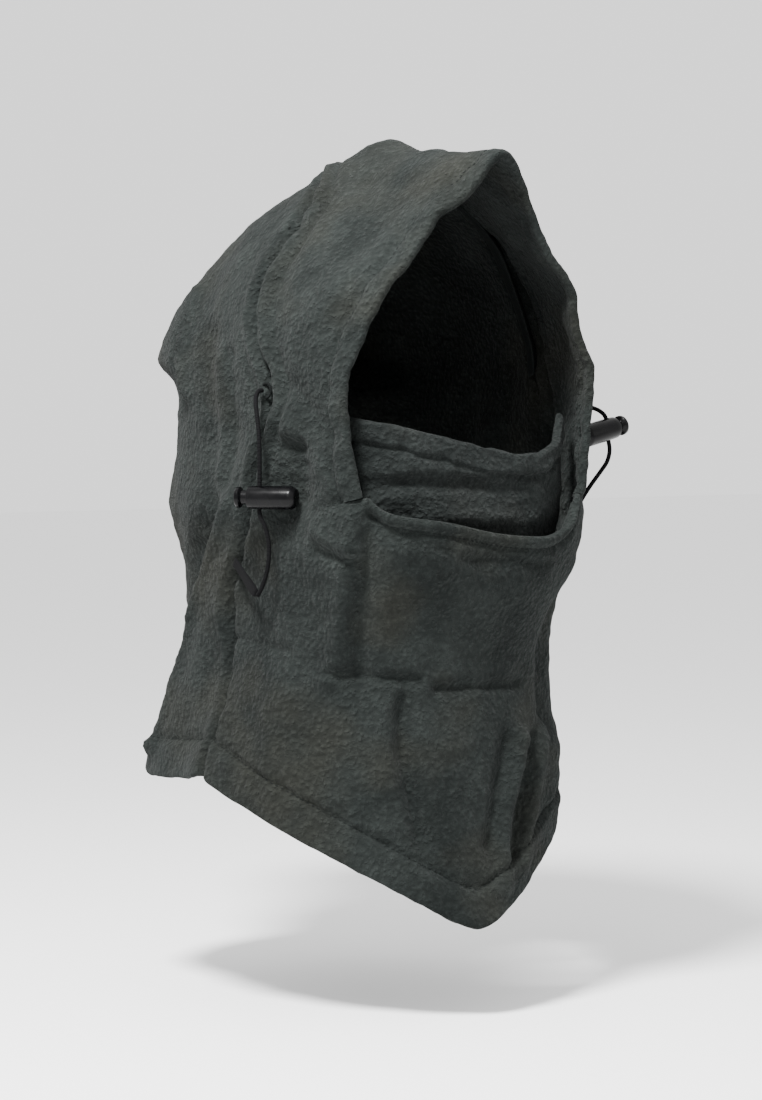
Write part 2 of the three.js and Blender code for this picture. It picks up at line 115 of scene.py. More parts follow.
def make_stage():
    mesh = bpy.data.meshes.new("floor")
    half = 6
    corners = [(-half, -half, FLOOR_Z), (half, -half, FLOOR_Z), (half, half, FLOOR_Z), (-half, half, FLOOR_Z)]
    mesh.from_pydata(corners, [], [(0, 1, 2, 3)])
    floor = bpy.data.objects.new("floor", mesh)
    bpy.context.collection.objects.link(floor)
    material = bpy.data.materials.new("floor_white")
    material.use_nodes = True
    shader = material.node_tree.nodes["Principled BSDF"]
    shader.inputs["Base Color"].default_value = (0.93, 0.93, 0.93, 1)
    shader.inputs["Roughness"].default_value = 0.9
    mesh.materials.append(material)
    world = bpy.data.worlds.new("studio")
    world.use_nodes = True
    world.node_tree.nodes["Background"].inputs["Color"].default_value = (1, 1, 1, 1)
    world.node_tree.nodes["Background"].inputs["Strength"].default_value = 1.5
    bpy.context.scene.world = world
    make_area_light("key", (-0.58, -0.38, 0.82), (0, 0, 0.06), 0.25, 61)
    make_area_light("front", (-1.9, -1.7, 1.1), (0, 0, -0.05), 0.9, 8)
    make_area_light("fill", (1.6, -1.9, 0.6), (0, 0, -0.05), 1.4, 4)


make_camera()
make_stage()

# ---- The surface that the cloth lies on (the same as the CAD model's) ----

HEAD_HALF, HEAD_MIDDLE, HEAD_BACK = 95, 10, 128
TAPER, TAPER_LENGTH = 0.3, 110
PLAN_POWER, DOME_POWER, BRIM_POWER = 2.6, 2.08, 1.5
CROWN_HEIGHT, RIDGE, RIDGE_WIDTH = 122, 6, 30
PEAK, PEAK_Y, PEAK_LENGTH = 11, 4, 24
BULGE_DEPTH, BULGE_HEIGHT, BULGE_WIDTH, BULGE_ABOVE, BULGE_BELOW = 66, 24, 88, 39, 13
DENT_DEPTH, DENT_Y, DENT_Z, DENT_LENGTH, DENT_HEIGHT = 8, -40, -46, 17, 30
BLEND_DEPTH = 60

# Rings round the neck and chest from the lowest up: height, half width, middle, front, back, front power.
RINGS = np.array([
    (-290, 106, 30, -81, 142, 2.0),
    (-205, 107, 26, -73, 150, 2.0),
    (-140, 96, 17, -71, 140, 2.3),
    (-100, 95, 12, -83, 147, 2.6),
    (-75, 95, 9, -89, 152, 2.9),
    (-56, 95, 8, -91, 156, 3.0),
    (0, 95, 10, -92, 150, 3.0),
], dtype=float)
HALF, MIDDLE, FRONT, BACK, POWER = 1, 2, 3, 4, 5

# The face opening's edge, up the right side to the middle of the brim.
OPENING = [
    (-71, -75, -52), (-74, -72, -24), (-74, -71, 5), (-69, -76, 33), (-58, -82, 57),
    (-46, -88, 80), (-35, -92, 99), (-20, -95, 114), (0, -99, 124),
]
# The seam behind the face band and above it the crown's middle, up the right side from the hem.
SEAM = [
    (-106, 25, -205), (-100, 22, -172), (-96, 22, -138), (-95, 17, -101), (-95, 2, -70), (-94, -9, -34),
    (-94, -16, 0), (-91, -5, 34), (-85, 1, 66), (-70, 0, 94), (-46, 8, 113), (-22, 28, 122), (0, 44, 126),
]
# The middle of the back, level by level with SEAM.
BACK_LINE = [
    (0, 150, -222), (0, 144, -178), (0, 140, -138), (0, 147, -100), (0, 155, -62), (0, 152, -28),
    (0, 148, -3), (0, 195, 17), (0, 198, 38), (0, 165, 64), (0, 122, 90), (0, 80, 112), (0, 44, 126),
]
BAND_START = 4
EXIT_POINT = 6
CORNER_SHARE, CORNER_Z, LIP_Z, LIP_POWER, LIP_TILT = 0.47, -52, -70, 6, -30
SEAM_TOP_Z, SIDE_Z, BIB_LOW_Z, HEM_POWER, HEM_ROUND = -70, -205, -284, 0.8, 0.1
MASK_INSET, MASK_END, MASK_MIDDLE_Z, MASK_END_Z, MASK_LOW_Z, MASK_TILT = 10, 0.6, -29, -13, -86, -32
HEM_WIDTH, OPENING_HEM = 22, 13


def bell(x):
    return np.exp(-x * x)


def smoothstep(x, low=0.0, high=1.0):
    t = np.clip((x - low) / (high - low), 0, 1)
    return t * t * (3 - 2 * t)


def ring_value(column, z):
    """A smooth value between the rings at height z."""
    zs, values = RINGS[:, 0], RINGS[:, column]
    z = np.asarray(z, dtype=float)
    before = np.maximum(np.arange(len(zs)) - 1, 0)
    after = np.minimum(np.arange(len(zs)) + 1, len(zs) - 1)
    slopes = (values[after] - values[before]) / (zs[after] - zs[before])
    i = np.clip(np.searchsorted(zs, z) - 1, 0, len(zs) - 2)
    span = zs[i + 1] - zs[i]
    t = np.clip((z - zs[i]) / span, 0, 1)
    t2, t3 = t * t, t * t * t
    return (
        (2 * t3 - 3 * t2 + 1) * values[i]
        + (t3 - 2 * t2 + t) * span * slopes[i]
        + (3 * t2 - 2 * t3) * values[i + 1]
        + (t3 - t2) * span * slopes[i + 1]
    )


def crown_height(x, y):
    return CROWN_HEIGHT + bell(x / RIDGE_WIDTH) * (RIDGE + PEAK * bell((y - PEAK_Y) / PEAK_LENGTH))


def nape_bulge(x, z):
    reach = np.where(z > BULGE_HEIGHT, BULGE_ABOVE, BULGE_BELOW)
    return BULGE_DEPTH * bell(x / BULGE_WIDTH) * bell((z - BULGE_HEIGHT) / reach)


def lock_dent(y, z):
    return DENT_DEPTH * bell((y - DENT_Y) / DENT_LENGTH) * bell((z - DENT_Z) / DENT_HEIGHT)


def vault_level(p):
    x, y, z = p[..., 0], p[..., 1], p[..., 2]
    ahead = np.maximum(0, HEAD_MIDDLE - y) / TAPER_LENGTH
    dome = DOME_POWER + (BRIM_POWER - DOME_POWER) * smoothstep(ahead)
    width = HEAD_HALF * (1 - TAPER * ahead**1.5) - lock_dent(y, z)
    across = np.abs(x) / np.maximum(width, 1)
    behind = np.maximum(0, y - HEAD_MIDDLE) / (HEAD_BACK + nape_bulge(x, z))
    plan = (across**PLAN_POWER + behind**PLAN_POWER) ** (dome / PLAN_POWER)
    return plan + (np.maximum(0, z) / crown_height(x, y)) ** dome


def ring_level(p):
    x, y, z = p[..., 0], p[..., 1], p[..., 2]
    middle = ring_value(MIDDLE, z)
    is_front = y < middle
    depth = np.where(is_front, middle - ring_value(FRONT, z), ring_value(BACK, z) - middle)
    power = np.where(is_front, ring_value(POWER, z), PLAN_POWER)
    half = ring_value(HALF, z) - lock_dent(y, z)
    return (np.abs(x) / half) ** power + (np.abs(y - middle) / depth) ** power


def hood_level(p):
    z = p[..., 2]
    share = np.where(z >= 0, 0, smoothstep(-z / BLEND_DEPTH))
    return (1 - share) * vault_level(p) + share * ring_level(p)


def on_surface(p, level=hood_level):
    """Points moved to the surface: away from the head's middle, or level with themselves below it."""
    p = np.asarray(p, dtype=float)
    z = p[..., 2]
    centre = np.zeros_like(p)
    centre[..., 1] = np.where(z >= 0, HEAD_MIDDLE, ring_value(MIDDLE, z))
    centre[..., 2] = np.where(z >= 0, 0, z)
    ray = p - centre
    low, high = np.full(z.shape, 0.3), np.full(z.shape, 2.5)
    for _ in range(26):
        middle = (low + high) / 2
        inside = level(centre + ray * middle[..., None]) < 1
        low, high = np.where(inside, middle, low), np.where(inside, high, middle)
    return centre + ray * low[..., None]


# ---- Curves and grids ----


def spline(points, places):
    """Catmull-Rom curve through the points. Place 1.5 is halfway from the second point to the third."""
    points = np.asarray(points, dtype=float)
    places = np.clip(np.asarray(places, dtype=float), 0, len(points) - 1)
    i = np.minimum(places.astype(int), len(points) - 2)
    t = (places - i)[:, None]
    before, after = np.maximum(i - 1, 0), np.minimum(i + 2, len(points) - 1)
    a, b, c, d = points[before], points[i], points[i + 1], points[after]
    return 0.5 * (2 * b + (c - a) * t + (2 * a - 5 * b + 4 * c - d) * t**2 + (3 * b - a - 3 * c + d) * t**3)


def arch(points):
    """The points of the right side, then their mirror down the left side."""
    points = np.asarray(points, dtype=float)
    return np.concatenate([points, points[-2::-1] * (-1, 1, 1)])


def resample(grid, rows, columns):
    """The grid at fractional row and column numbers, by splines."""
    count_v, count_u = grid.shape[:2]
    along = spline(grid.reshape(count_v, -1), rows).reshape(len(rows), count_u, -1)
    across = spline(along.transpose(1, 0, 2).reshape(count_u, -1), columns)
    return across.reshape(len(columns), len(rows), -1).transpose(1, 0, 2)


def unit(v):
    return v / np.maximum(np.linalg.norm(v, axis=-1, keepdims=True), 1e-9)


def grid_normals(grid, inside=(0, 20, 0)):
    """Normals that point away from the middle of the head or neck."""
    normal = unit(np.cross(np.gradient(grid, axis=1), np.gradient(grid, axis=0)))
    away = (grid - np.array(inside, dtype=float)).reshape(-1, 3)
    away[:, 2] *= 0.4
    return normal if (normal.reshape(-1, 3) * away).sum() > 0 else -normal


def surface_normals(points):
    """Normals of the surface that all the panels share, so that they meet at their seams."""
    p = np.asarray(points, dtype=float)
    slopes = [hood_level(p + step) - hood_level(p - step) for step in np.eye(3)]
    return unit(np.stack(slopes, axis=-1))


seam_points = arch(SEAM)
opening_points = arch(OPENING)
SEAM_TOP = len(SEAM) - 1


def seam_at(places):
    return on_surface(spline(seam_points, places))


def band_grid(places, shares):
    """Rows from the right ear over the brim to the left ear, columns from the opening to the seam."""
    t = (places - BAND_START) / (2 * (SEAM_TOP - BAND_START))
    edge = on_surface(spline(opening_points, t * (len(opening_points) - 1)))
    share = shares[None, :, None]
    return on_surface(edge[:, None] * (1 - share) + seam_at(places)[:, None] * share)


def side_grid(sign, places, shares):
    """Rows from the hem to the crown, columns from the side seam to the middle of the back."""
    seam = seam_at(places)
    seam[:, 0] *= -sign
    back = on_surface(spline(BACK_LINE, places))
    share = shares[None, :, None]
    return on_surface(seam[:, None] * (1 - share) + back[:, None] * share)


def seam_angle(z):
    """Angle of the side seam round the neck from straight ahead."""
    seam = seam_at(np.linspace(0, BAND_START + 1, 60))
    angles = np.arctan2(-seam[:, 0], ring_value(MIDDLE, seam[:, 2]) - seam[:, 1])
    return np.interp(np.maximum(z, SIDE_Z), seam[:, 2], angles)


def bib_top(share):
    s = np.abs(share) / CORNER_SHARE
    beyond = (s - 1) * CORNER_SHARE / (1 - CORNER_SHARE)
    side = CORNER_Z + (SEAM_TOP_Z - CORNER_Z) * beyond
    lip = LIP_Z + (CORNER_Z - LIP_Z) * s**LIP_POWER + LIP_TILT * share * (1 - s**2)
    return np.where(s > 1, side, lip)


def bib_bottom(share):
    rounded = np.sqrt(share**2 + HEM_ROUND**2) - HEM_ROUND
    full = math.sqrt(1 + HEM_ROUND**2) - HEM_ROUND
    return SIDE_Z + (BIB_LOW_Z - SIDE_Z) * (1 - (rounded / full) ** HEM_POWER)


def mask_top(share):
    s = np.abs(share) / MASK_END
    return MASK_MIDDLE_Z + (MASK_END_Z - MASK_MIDDLE_Z) * s**3 + MASK_TILT * share * (1 - s**2)


def bib_points(share, z):
    angle = share * seam_angle(z)
    middle = ring_value(MIDDLE, z)
    p = np.stack([100 * np.sin(angle), middle - 100 * np.cos(angle), z], axis=-1)
    return on_surface(p, ring_level)


def bib_grid(heights, shares):
    """Rows from the hem up, columns from the right seam round the front to the left seam."""
    share, t = shares[None, :], heights[:, None]
    z = bib_bottom(share) * (1 - t) + bib_top(share) * t
    return bib_points(np.broadcast_to(share, z.shape), z)


def mask_grid(heights, shares):
    share, t = shares[None, :] * MASK_END, heights[:, None]
    z = MASK_LOW_Z * (1 - t) + mask_top(share) * t
    grid = bib_points(np.broadcast_to(share, z.shape), z)
    return grid - grid_normals(grid) * MASK_INSET


def new_object(name, vertices, faces):
    mesh = bpy.data.meshes.new(name)
    mesh.from_pydata((np.asarray(vertices) * MM).tolist(), [], faces)
    mesh.validate()
    mesh.polygons.foreach_set("use_smooth", [True] * len(mesh.polygons))
    made = bpy.data.objects.new(name, mesh)
    bpy.context.collection.objects.link(made)
    return made


def face_outward(piece):
    work = bmesh.new()
    work.from_mesh(piece.data)
    bmesh.ops.recalc_face_normals(work, faces=work.faces)
    work.to_mesh(piece.data)
    work.free()


def quads(index):
    """The faces of a grid of vertex numbers."""
    corners = [index[:-1, :-1], index[:-1, 1:], index[1:, 1:], index[1:, :-1]]
    return np.stack([c.ravel() for c in corners], axis=1)


# ---- Cloth simulation: the garment as one net, joined along its seams ----

LOW_ROWS, HIGH_ROWS = 24, 42
BAND_COLUMNS, SIDE_COLUMNS, LIP_COLUMNS = 11, 28, 20
CROWN_GAP = 0.05  # the net's side panels end this far, in seam points, before the top of the crown
low_places = np.linspace(0, BAND_START, LOW_ROWS)
high_places = np.linspace(BAND_START, SEAM_TOP - CROWN_GAP, HIGH_ROWS)
side_places = np.concatenate([low_places, high_places[1:]])
band_places = np.concatenate([high_places, 2 * SEAM_TOP - high_places[::-1]])
band_shares = np.linspace(0, 1, BAND_COLUMNS)
side_shares = np.linspace(0, 1, SIDE_COLUMNS)
flank = np.linspace(-1, -CORNER_SHARE, BAND_COLUMNS)
lip_shares = np.linspace(-CORNER_SHARE, CORNER_SHARE, LIP_COLUMNS)
bib_shares = np.concatenate([flank, lip_shares[1:-1], -flank[::-1]])
bib_heights = np.clip((seam_at(low_places)[:, 2] - SIDE_Z) / (SEAM_TOP_Z - SIDE_Z), 0, 1)
bib_heights[[0, -1]] = 0, 1

FRAMES = 36
SMOOTH_ROUNDS = 5
GROWTH = -0.05  # the cloth is this much too large for the shape, so it buckles a little
HOLD_INSIDE, HOLD_SEAM, HOLD_EDGE = 0.012, 0.25, 0.2
MOST_MOVED = 8  # millimetres


def hold_weights(shape, seams, edges):
    """How firmly each vertex of a grid stays: more along its seams and edges.

    The sides are low, high, first and last.
    """
    v, u = np.indices(shape)
    steps = {"low": v, "high": shape[0] - 1 - v, "first": u, "last": shape[1] - 1 - u}
    weight = np.full(shape, HOLD_INSIDE)
    for sides, firm in ((seams, HOLD_SEAM), (edges, HOLD_EDGE)):
        for side in sides:
            weight = np.maximum(weight, HOLD_INSIDE + (firm - HOLD_INSIDE) * bell(steps[side] / 0.9))
    return weight


def smoothed(values, faces, rounds):
    """Values of the net's vertices, evened out along its edges."""
    ends = np.concatenate([faces[:, [k, (k + 1) % 4]] for k in range(4)])
    ends = np.concatenate([ends, ends[:, ::-1]])
    count = np.bincount(ends[:, 0], minlength=len(values))[:, None]
    for _ in range(rounds):
        total = np.zeros_like(values)
        np.add.at(total, ends[:, 0], values[ends[:, 1]])
        values = 0.5 * values + 0.5 * total / count
    return values


def simulate(grids, weights, pairs):
    """Offsets of each grid after the joined net has buckled.

    Each pair is two lists of vertices that are one.
    """
    count = sum(grid.shape[0] * grid.shape[1] for grid in grids)
    owner = np.arange(count)
    for a, b in pairs:
        for i, j in zip(a, b):
            owner[owner == owner[j]] = owner[i]
    kept, vertex = np.unique(owner, return_inverse=True)
    start = np.concatenate([grid.reshape(-1, 3) for grid in grids])
    firm = np.concatenate([weight.ravel() for weight in weights])
    numbers = np.split(np.arange(count), np.cumsum([g.shape[0] * g.shape[1] for g in grids])[:-1])
    faces = np.concatenate([quads(vertex[n].reshape(g.shape[:2])) for n, g in zip(numbers, grids)])
    net = new_object("net", start[kept], [tuple(int(i) for i in f) for f in faces])
    hold = net.vertex_groups.new(name="hold")
    for i, w in enumerate(firm[kept]):
        hold.add([i], float(w), "REPLACE")
    cloth = net.modifiers.new("cloth", "CLOTH")
    settings = cloth.settings
    settings.quality = 6
    settings.mass = 0.15
    settings.tension_stiffness = settings.compression_stiffness = 25
    settings.shear_stiffness = 8
    settings.bending_stiffness = 14
    settings.vertex_group_mass = "hold"
    settings.pin_stiffness = 1
    settings.shrink_min = GROWTH
    settings.effector_weights.gravity = 0.15
    cloth.collision_settings.use_collision = False
    cloth.point_cache.frame_end = FRAMES
    for step in range(1, FRAMES + 1):
        bpy.context.scene.frame_set(step)
    moved = net.evaluated_get(bpy.context.evaluated_depsgraph_get()).data
    end = np.empty(3 * len(kept))
    moved.vertices.foreach_get("co", end)
    end = end.reshape(-1, 3) / MM
    offset = smoothed(end - start[kept], faces, SMOOTH_ROUNDS)
    size = np.linalg.norm(offset, axis=1, keepdims=True)
    offset = (offset / np.sqrt(1 + (size / MOST_MOVED) ** 2))[vertex]
    bpy.data.objects.remove(net)
    bpy.context.scene.frame_set(1)
    return [offset[n].reshape(g.shape) for n, g in zip(numbers, grids)]


def buckled_offsets():
    """Offsets of the band, the right side, the left side and the bib."""
    grids = [
        band_grid(band_places, band_shares),
        side_grid(-1, side_places, side_shares),
        side_grid(1, side_places, side_shares),
        bib_grid(bib_heights, bib_shares),
    ]
    first = 0
    net = []
    for grid in grids:
        size = grid.shape[0] * grid.shape[1]
        net.append(np.arange(first, first + size).reshape(grid.shape[:2]))
        first += size
    band, right, left, bib = net
    pairs = [
        (band[:HIGH_ROWS, -1], right[LOW_ROWS - 1:, 0]),
        (band[:-HIGH_ROWS - 1:-1, -1], left[LOW_ROWS - 1:, 0]),
        (right[:, -1], left[:, -1]),
        (right[:LOW_ROWS, 0], bib[:, 0]),
        (left[:LOW_ROWS, 0], bib[:, -1]),
        (band[0, ::-1], bib[-1, :BAND_COLUMNS]),
        (band[-1], bib[-1, -BAND_COLUMNS:]),
    ]
    weights = [
        hold_weights(band.shape, ["low", "high", "last"], ["first"]),
        hold_weights(right.shape, ["high", "first"], ["low"]),
        hold_weights(left.shape, ["high", "first"], ["low"]),
        hold_weights(bib.shape, ["first", "last"], ["low", "high"]),
    ]
    return simulate(grids, weights, pairs)


# ---- Folds, seams and hems as offsets along the cloth's normal ----

# Each fold: its points, its height (a crease if negative) and its half width.
# Folds of the cloth, each a few points near the surface, then its height and half width. A ridge is above 0.
FOLDS = [
    # right side, below the tab: a ridge back to the cape's hem with a hollow behind it
    ([(-95, 15, -60), (-95, 50, -100), (-95, 80, -155), (-95, 95, -195)], 3.6, 6),
    ([(-95, 40, -65), (-90, 70, -100), (-85, 90, -140), (-85, 105, -175)], -6.5, 14),
    # right side, gathers under the loose top of the hood
    ([(-80, 75, 60), (-90, 70, 5)], 3, 6),
    ([(-75, 90, 55), (-85, 85, 5)], -4, 7),
    # right side, hanging folds between the casing and the nape
    ([(-90, 45, 35), (-95, 45, -50)], -2.2, 8),
    ([(-95, 20, 25), (-95, 20, -45)], -1.6, 5),
    ([(-95, 30, 20), (-95, 30, -40)], 1.8, 6),
    # band, slanting down to the corner of the opening
    ([(-90, -30, 10), (-80, -60, -20)], -1.8, 6),
    ([(-90, -25, -10), (-80, -60, -45)], 1.4, 7),
    # bib, a small pleat under that corner
    ([(-85, -50, -70), (-70, -70, -80)], 1.8, 4),
    ([(-85, -50, -80), (-70, -65, -85)], -1.6, 3.5),
    # bib, the long fold that drops from that corner
    ([(-75, -70, -65), (-75, -60, -105), (-75, -45, -150)], 2.4, 6),
    ([(-65, -75, -65), (-65, -65, -105), (-60, -55, -150)], -2.6, 5),
    # bib, two creases across it and one down from them
    ([(-75, -45, -145), (-30, -65, -150)], -1.9, 3),
    ([(-20, -70, -155), (35, -65, -155)], -1.8, 3),
    ([(-40, -65, -160), (-40, -65, -185), (-30, -70, -235)], -3.2, 4.5),
    ([(-50, -60, -165), (-45, -60, -205)], 2.2, 6),
    # bib, two pairs of folds into its lowest corner
    ([(35, -65, -185), (20, -70, -225), (20, -75, -260)], 3.4, 5),
    ([(25, -70, -185), (10, -75, -240)], -2.2, 5),
    ([(60, -55, -180), (35, -70, -250)], 3, 6),
    ([(45, -60, -185), (30, -70, -245)], -2.6, 5),
    # bib, the hollow under the chin on the left
    ([(65, -50, -120), (65, -50, -170)], -5.5, 14),
    ([(70, -40, -190), (70, -40, -215)], 3, 14),
    # bib, slight creases beside the side seam and under the lip
    ([(-95, 20, -130), (-90, -25, -135)], -1.2, 3),
    ([(-60, -80, -70), (-25, -85, -80)], -1.3, 3),
    ([(-15, -85, -85), (40, -80, -90)], -1.3, 4),
    # band, over the brow and in front of the casing
    ([(-30, -20, 115), (-45, -40, 105)], -1.6, 4),
    ([(-60, -5, 95), (-85, -20, 50), (-90, -25, 20)], -1.3, 5),
    ([(-50, -65, 85), (-70, -50, 50)], 1.2, 8),
    # back and left, hanging folds
    ([(60, 105, -30), (75, 85, -100)], -3, 10),
    ([(30, 140, -60), (30, 135, -140)], -3, 12),
    ([(-25, 145, -40), (-25, 140, -130)], -3, 12),
    ([(0, 150, -70), (0, 145, -170)], 2.5, 10),
    ([(95, 40, -20), (90, 50, -110)], -2.5, 9),
    ([(95, 20, 20), (95, 25, -60)], 2, 7),
]
FOLD_PLACES = 16
FOLD_SHARE = 1.6
MASK_FOLDS = [
    ([(-72, -58, -52), (-44, -76, -50), (-8, -80, -50), (28, -76, -53)], -2.6, 4),
    ([(-70, -58, -42), (-40, -76, -40), (-6, -80, -41), (30, -76, -45)], 1.6, 5),
    ([(50, -64, -62), (62, -56, -46), (72, -44, -36)], -2.4, 4),
    ([(-30, -78, -66), (6, -80, -68), (40, -72, -70)], 1.5, 5),
]
BRIM_SAG, BRIM_SAG_X, BRIM_SAG_WIDTH, BRIM_SAG_DEPTH = 9, -17, 12, 10
FLEECE = 2.2
HEM_EXTRA = 2.6  # the turned layer of a hem
SEAM_DIP, SEAM_DIP_WIDTH, SEAM_SHOULDER = 3.4, 2.8, 0.9
PLAIN_SEAM = 0.25  # the seam between the band and the bib hardly shows
CASING_MIDDLE, CASING_HALF, CASING_RISE, CASING_LOW = 6.5, 4.5, 2.0, 4.5
SEAM_BULK = 1.8  # the seam allowance that stands up behind the cord
GROOVE, GROOVE_WIDTH, HEM_PADDING, HEM_PUCKER, HEM_PUCKER_WIDTH = 2.6, 2.0, 1.6, 0.6, 9
SEAM_PUCKER, SEAM_PUCKER_WIDTH, SEAM_SHOULDER_AT, SEAM_SHOULDER_WIDTH = 0.5, 11, 7, 4
PUCKER_WAVE = 15
RIPPLES = ((0.55, 46, 3), (0.3, 19, 5), (0.1, 7, 8))  # height, wavelength and seed of the small unevenness
TOP_FADE = (3, 24)  # distances from the top of the seam over which the seams come up
RIM_RADIUS = 1.9  # the most that the rounded rim of a panel has
LEVEL_WIDTH = 8  # distance from a sewn side within which the inside keeps to the surface's own normal
LIP_HEM, LIP_PADDING = 7, 0.7
CASING_GROOVE_AT = 13
ROUNDING = (0, 0.25, 0.7, 1.4, 2.3)  # distances from an edge at which the rounded rim is cut


def distance_to_line(points, line):
    """Distance of each point from a line of straight pieces."""
    best = np.full(points.shape[:-1], 1e9)
    line = np.asarray(line, dtype=float)
    for a, b in zip(line[:-1], line[1:]):
        along = b - a
        t = np.clip(((points - a) @ along) / (along @ along), 0, 1)
        best = np.minimum(best, np.linalg.norm(points - (a + t[..., None] * along), axis=-1))
    return best


def laid_on_surface(line):
    """The line with more places along it, moved onto the surface."""
    line = np.asarray(line, dtype=float)
    at = np.linspace(0, len(line) - 1, FOLD_PLACES)
    return on_surface(np.stack([np.interp(at, np.arange(len(line)), line[:, k]) for k in range(3)], axis=1))


def fold_height(points, folds):
    total = np.zeros(points.shape[:-1])
    for line, height, width in folds:
        total += FOLD_SHARE * height * bell(distance_to_line(points, line) / width)
    return total


def ripple(points, wavelength, seed):
    """Smooth noise of about one unit with that wavelength in millimetres."""
    random = np.random.default_rng(seed)
    total = np.zeros(points.shape[:-1])
    for _ in range(10):
        direction = random.normal(size=3)
        direction /= np.linalg.norm(direction)
        step = 2 * math.pi / (wavelength * random.uniform(0.7, 1.5))
        total += np.cos(points @ direction * step + random.uniform(0, 2 * math.pi))
    return total / math.sqrt(5)


def travelled(grid, axis):
    """Distance along the grid from its first line, and from its last, on that axis."""
    steps = np.linalg.norm(np.diff(grid, axis=axis), axis=-1)
    start = np.cumsum(steps, axis=axis)
    pad = [(0, 0), (0, 0)]
    pad[axis] = (1, 0)
    start = np.pad(start, pad)
    total = start[-1:] if axis == 0 else start[:, -1:]
    return start, total - start


def spaced(count, length):
    """Places from 0 to 1 with extra ones near both ends for the rounded rims."""
    rim = np.array(ROUNDING) / length
    return np.concatenate([rim, np.linspace(rim[-1] * 1.6, 1 - rim[-1] * 1.6, count), 1 - rim[::-1]])


def closed_layer(name, outer, inner):
    """A thin closed body between two grids of the same size, joined by a rim round their four sides."""
    rows, columns = outer.shape[:2]
    size = rows * columns
    index = np.arange(size).reshape(rows, columns)
    rim = np.concatenate([index[0, :-1], index[:-1, -1], index[-1, :0:-1], index[:0:-1, 0]])
    after = np.roll(rim, -1)
    walls = np.stack([after, rim, rim + size, after + size], axis=1)
    faces = np.concatenate([quads(index), quads(index)[:, ::-1] + size, walls])
    made = new_object(name, np.concatenate([outer.reshape(-1, 3), inner.reshape(-1, 3)]), faces.tolist())
    face_outward(made)
    return made


class Panel:
    """A panel of cloth as a fine grid: its outer face, its normals and its distances from its four sides."""

    def __init__(self, shape, offset, free, hem, folds=None, plain=None):
        plain = plain or {}
        grid = shape + offset
        self.from_low, self.from_high = travelled(grid, 0)
        self.from_first, self.from_last = travelled(grid, 1)
        self.free = free
        sides = {
            "low": self.from_low, "high": self.from_high, "first": self.from_first, "last": self.from_last
        }
        normal = surface_normals(shape)
        rise = fold_height(shape, folds or [(laid_on_surface(line), *size) for line, *size in FOLDS])
        rise += sum(height * ripple(grid, wavelength, seed) for height, wavelength, seed in RIPPLES)
        self.thickness = np.full(grid.shape[:2], FLEECE)
        from_top = 0.1 + 0.9 * smoothstep(np.linalg.norm(shape - SEAM[-1], axis=-1), *TOP_FADE)
        for name, distance in sides.items():
            if name in free:
                width = hem.get(name, 0)
                if width:
                    inside = 1 - smoothstep(distance, width - 1, width + 1.5)
                    self.thickness = np.maximum(self.thickness, FLEECE + HEM_EXTRA * inside)
                    rise += HEM_PADDING * inside - GROOVE * bell((distance - width) / GROOVE_WIDTH)
                    rise += HEM_PUCKER * bell((distance - width) / HEM_PUCKER_WIDTH) * ripple(grid, PUCKER_WAVE, 13)
            else:
                show = plain.get(name, 1)
                pucker = SEAM_PUCKER * bell(distance / SEAM_PUCKER_WIDTH) * ripple(grid, PUCKER_WAVE, 11)
                shoulder = SEAM_SHOULDER * bell((distance - SEAM_SHOULDER_AT) / SEAM_SHOULDER_WIDTH)
                rise += show * from_top * (pucker + shoulder - SEAM_DIP * bell(distance / SEAM_DIP_WIDTH))
        self.sides = sides
        self.rolled = {side: 0 for side in plain}
        self.normal = normal
        self.rise = rise
        self.grid = grid

    def make(self, name, keep_clear=()):
        radius = np.minimum(self.thickness / 2, RIM_RADIUS)
        drop = np.zeros_like(radius)
        for side, distance in self.sides.items():
            short = np.clip(radius - distance, 0, radius) * self.rolled.get(side, 1)
            drop = np.maximum(drop, radius - np.sqrt(np.maximum(radius**2 - short**2, 0)))
        self.face = self.grid + self.normal * self.rise[..., None]
        for lines, clear, softness in keep_clear:
            for _ in range(2):
                away = np.minimum.reduce([distance_to_line(self.face, line) for line in lines])
                near = softness * np.logaddexp(0, (clear - away) / softness)
                self.face -= self.normal * near[..., None]
        joined = [d for side, d in self.sides.items() if side not in self.free]
        inner_share = smoothstep(np.minimum.reduce(joined), 0, LEVEL_WIDTH)[..., None] if joined else 1
        turned = unit(grid_normals(self.face) * inner_share + self.normal * (1.3 - inner_share))
        outer = self.face - turned * drop[..., None]
        inner = self.face - turned * (self.thickness - drop)[..., None]
        return closed_layer(name, outer, inner)

    def line(self, side, distance):
        """Points on the outer face at that distance from a side, and the normals there."""
        across = self.sides[side]
        face, normal = self.face, self.normal
        if side in ("low", "high"):
            across, face, normal = across.T, face.transpose(1, 0, 2), normal.transpose(1, 0, 2)
        if across[0, 0] > across[0, -1]:
            across, face, normal = across[:, ::-1], face[:, ::-1], normal[:, ::-1]
        at = [np.array([np.interp(distance, a, f[:, k]) for a, f in zip(across, face)]) for k in range(3)]
        up = [np.array([np.interp(distance, a, n[:, k]) for a, n in zip(across, normal)]) for k in range(3)]
        return np.stack(at, axis=1), unit(np.stack(up, axis=1))


band_offset, right_offset, left_offset, bib_offset = buckled_offsets()


def on_net(values, knots):
    return np.interp(values, knots, np.arange(len(knots)))


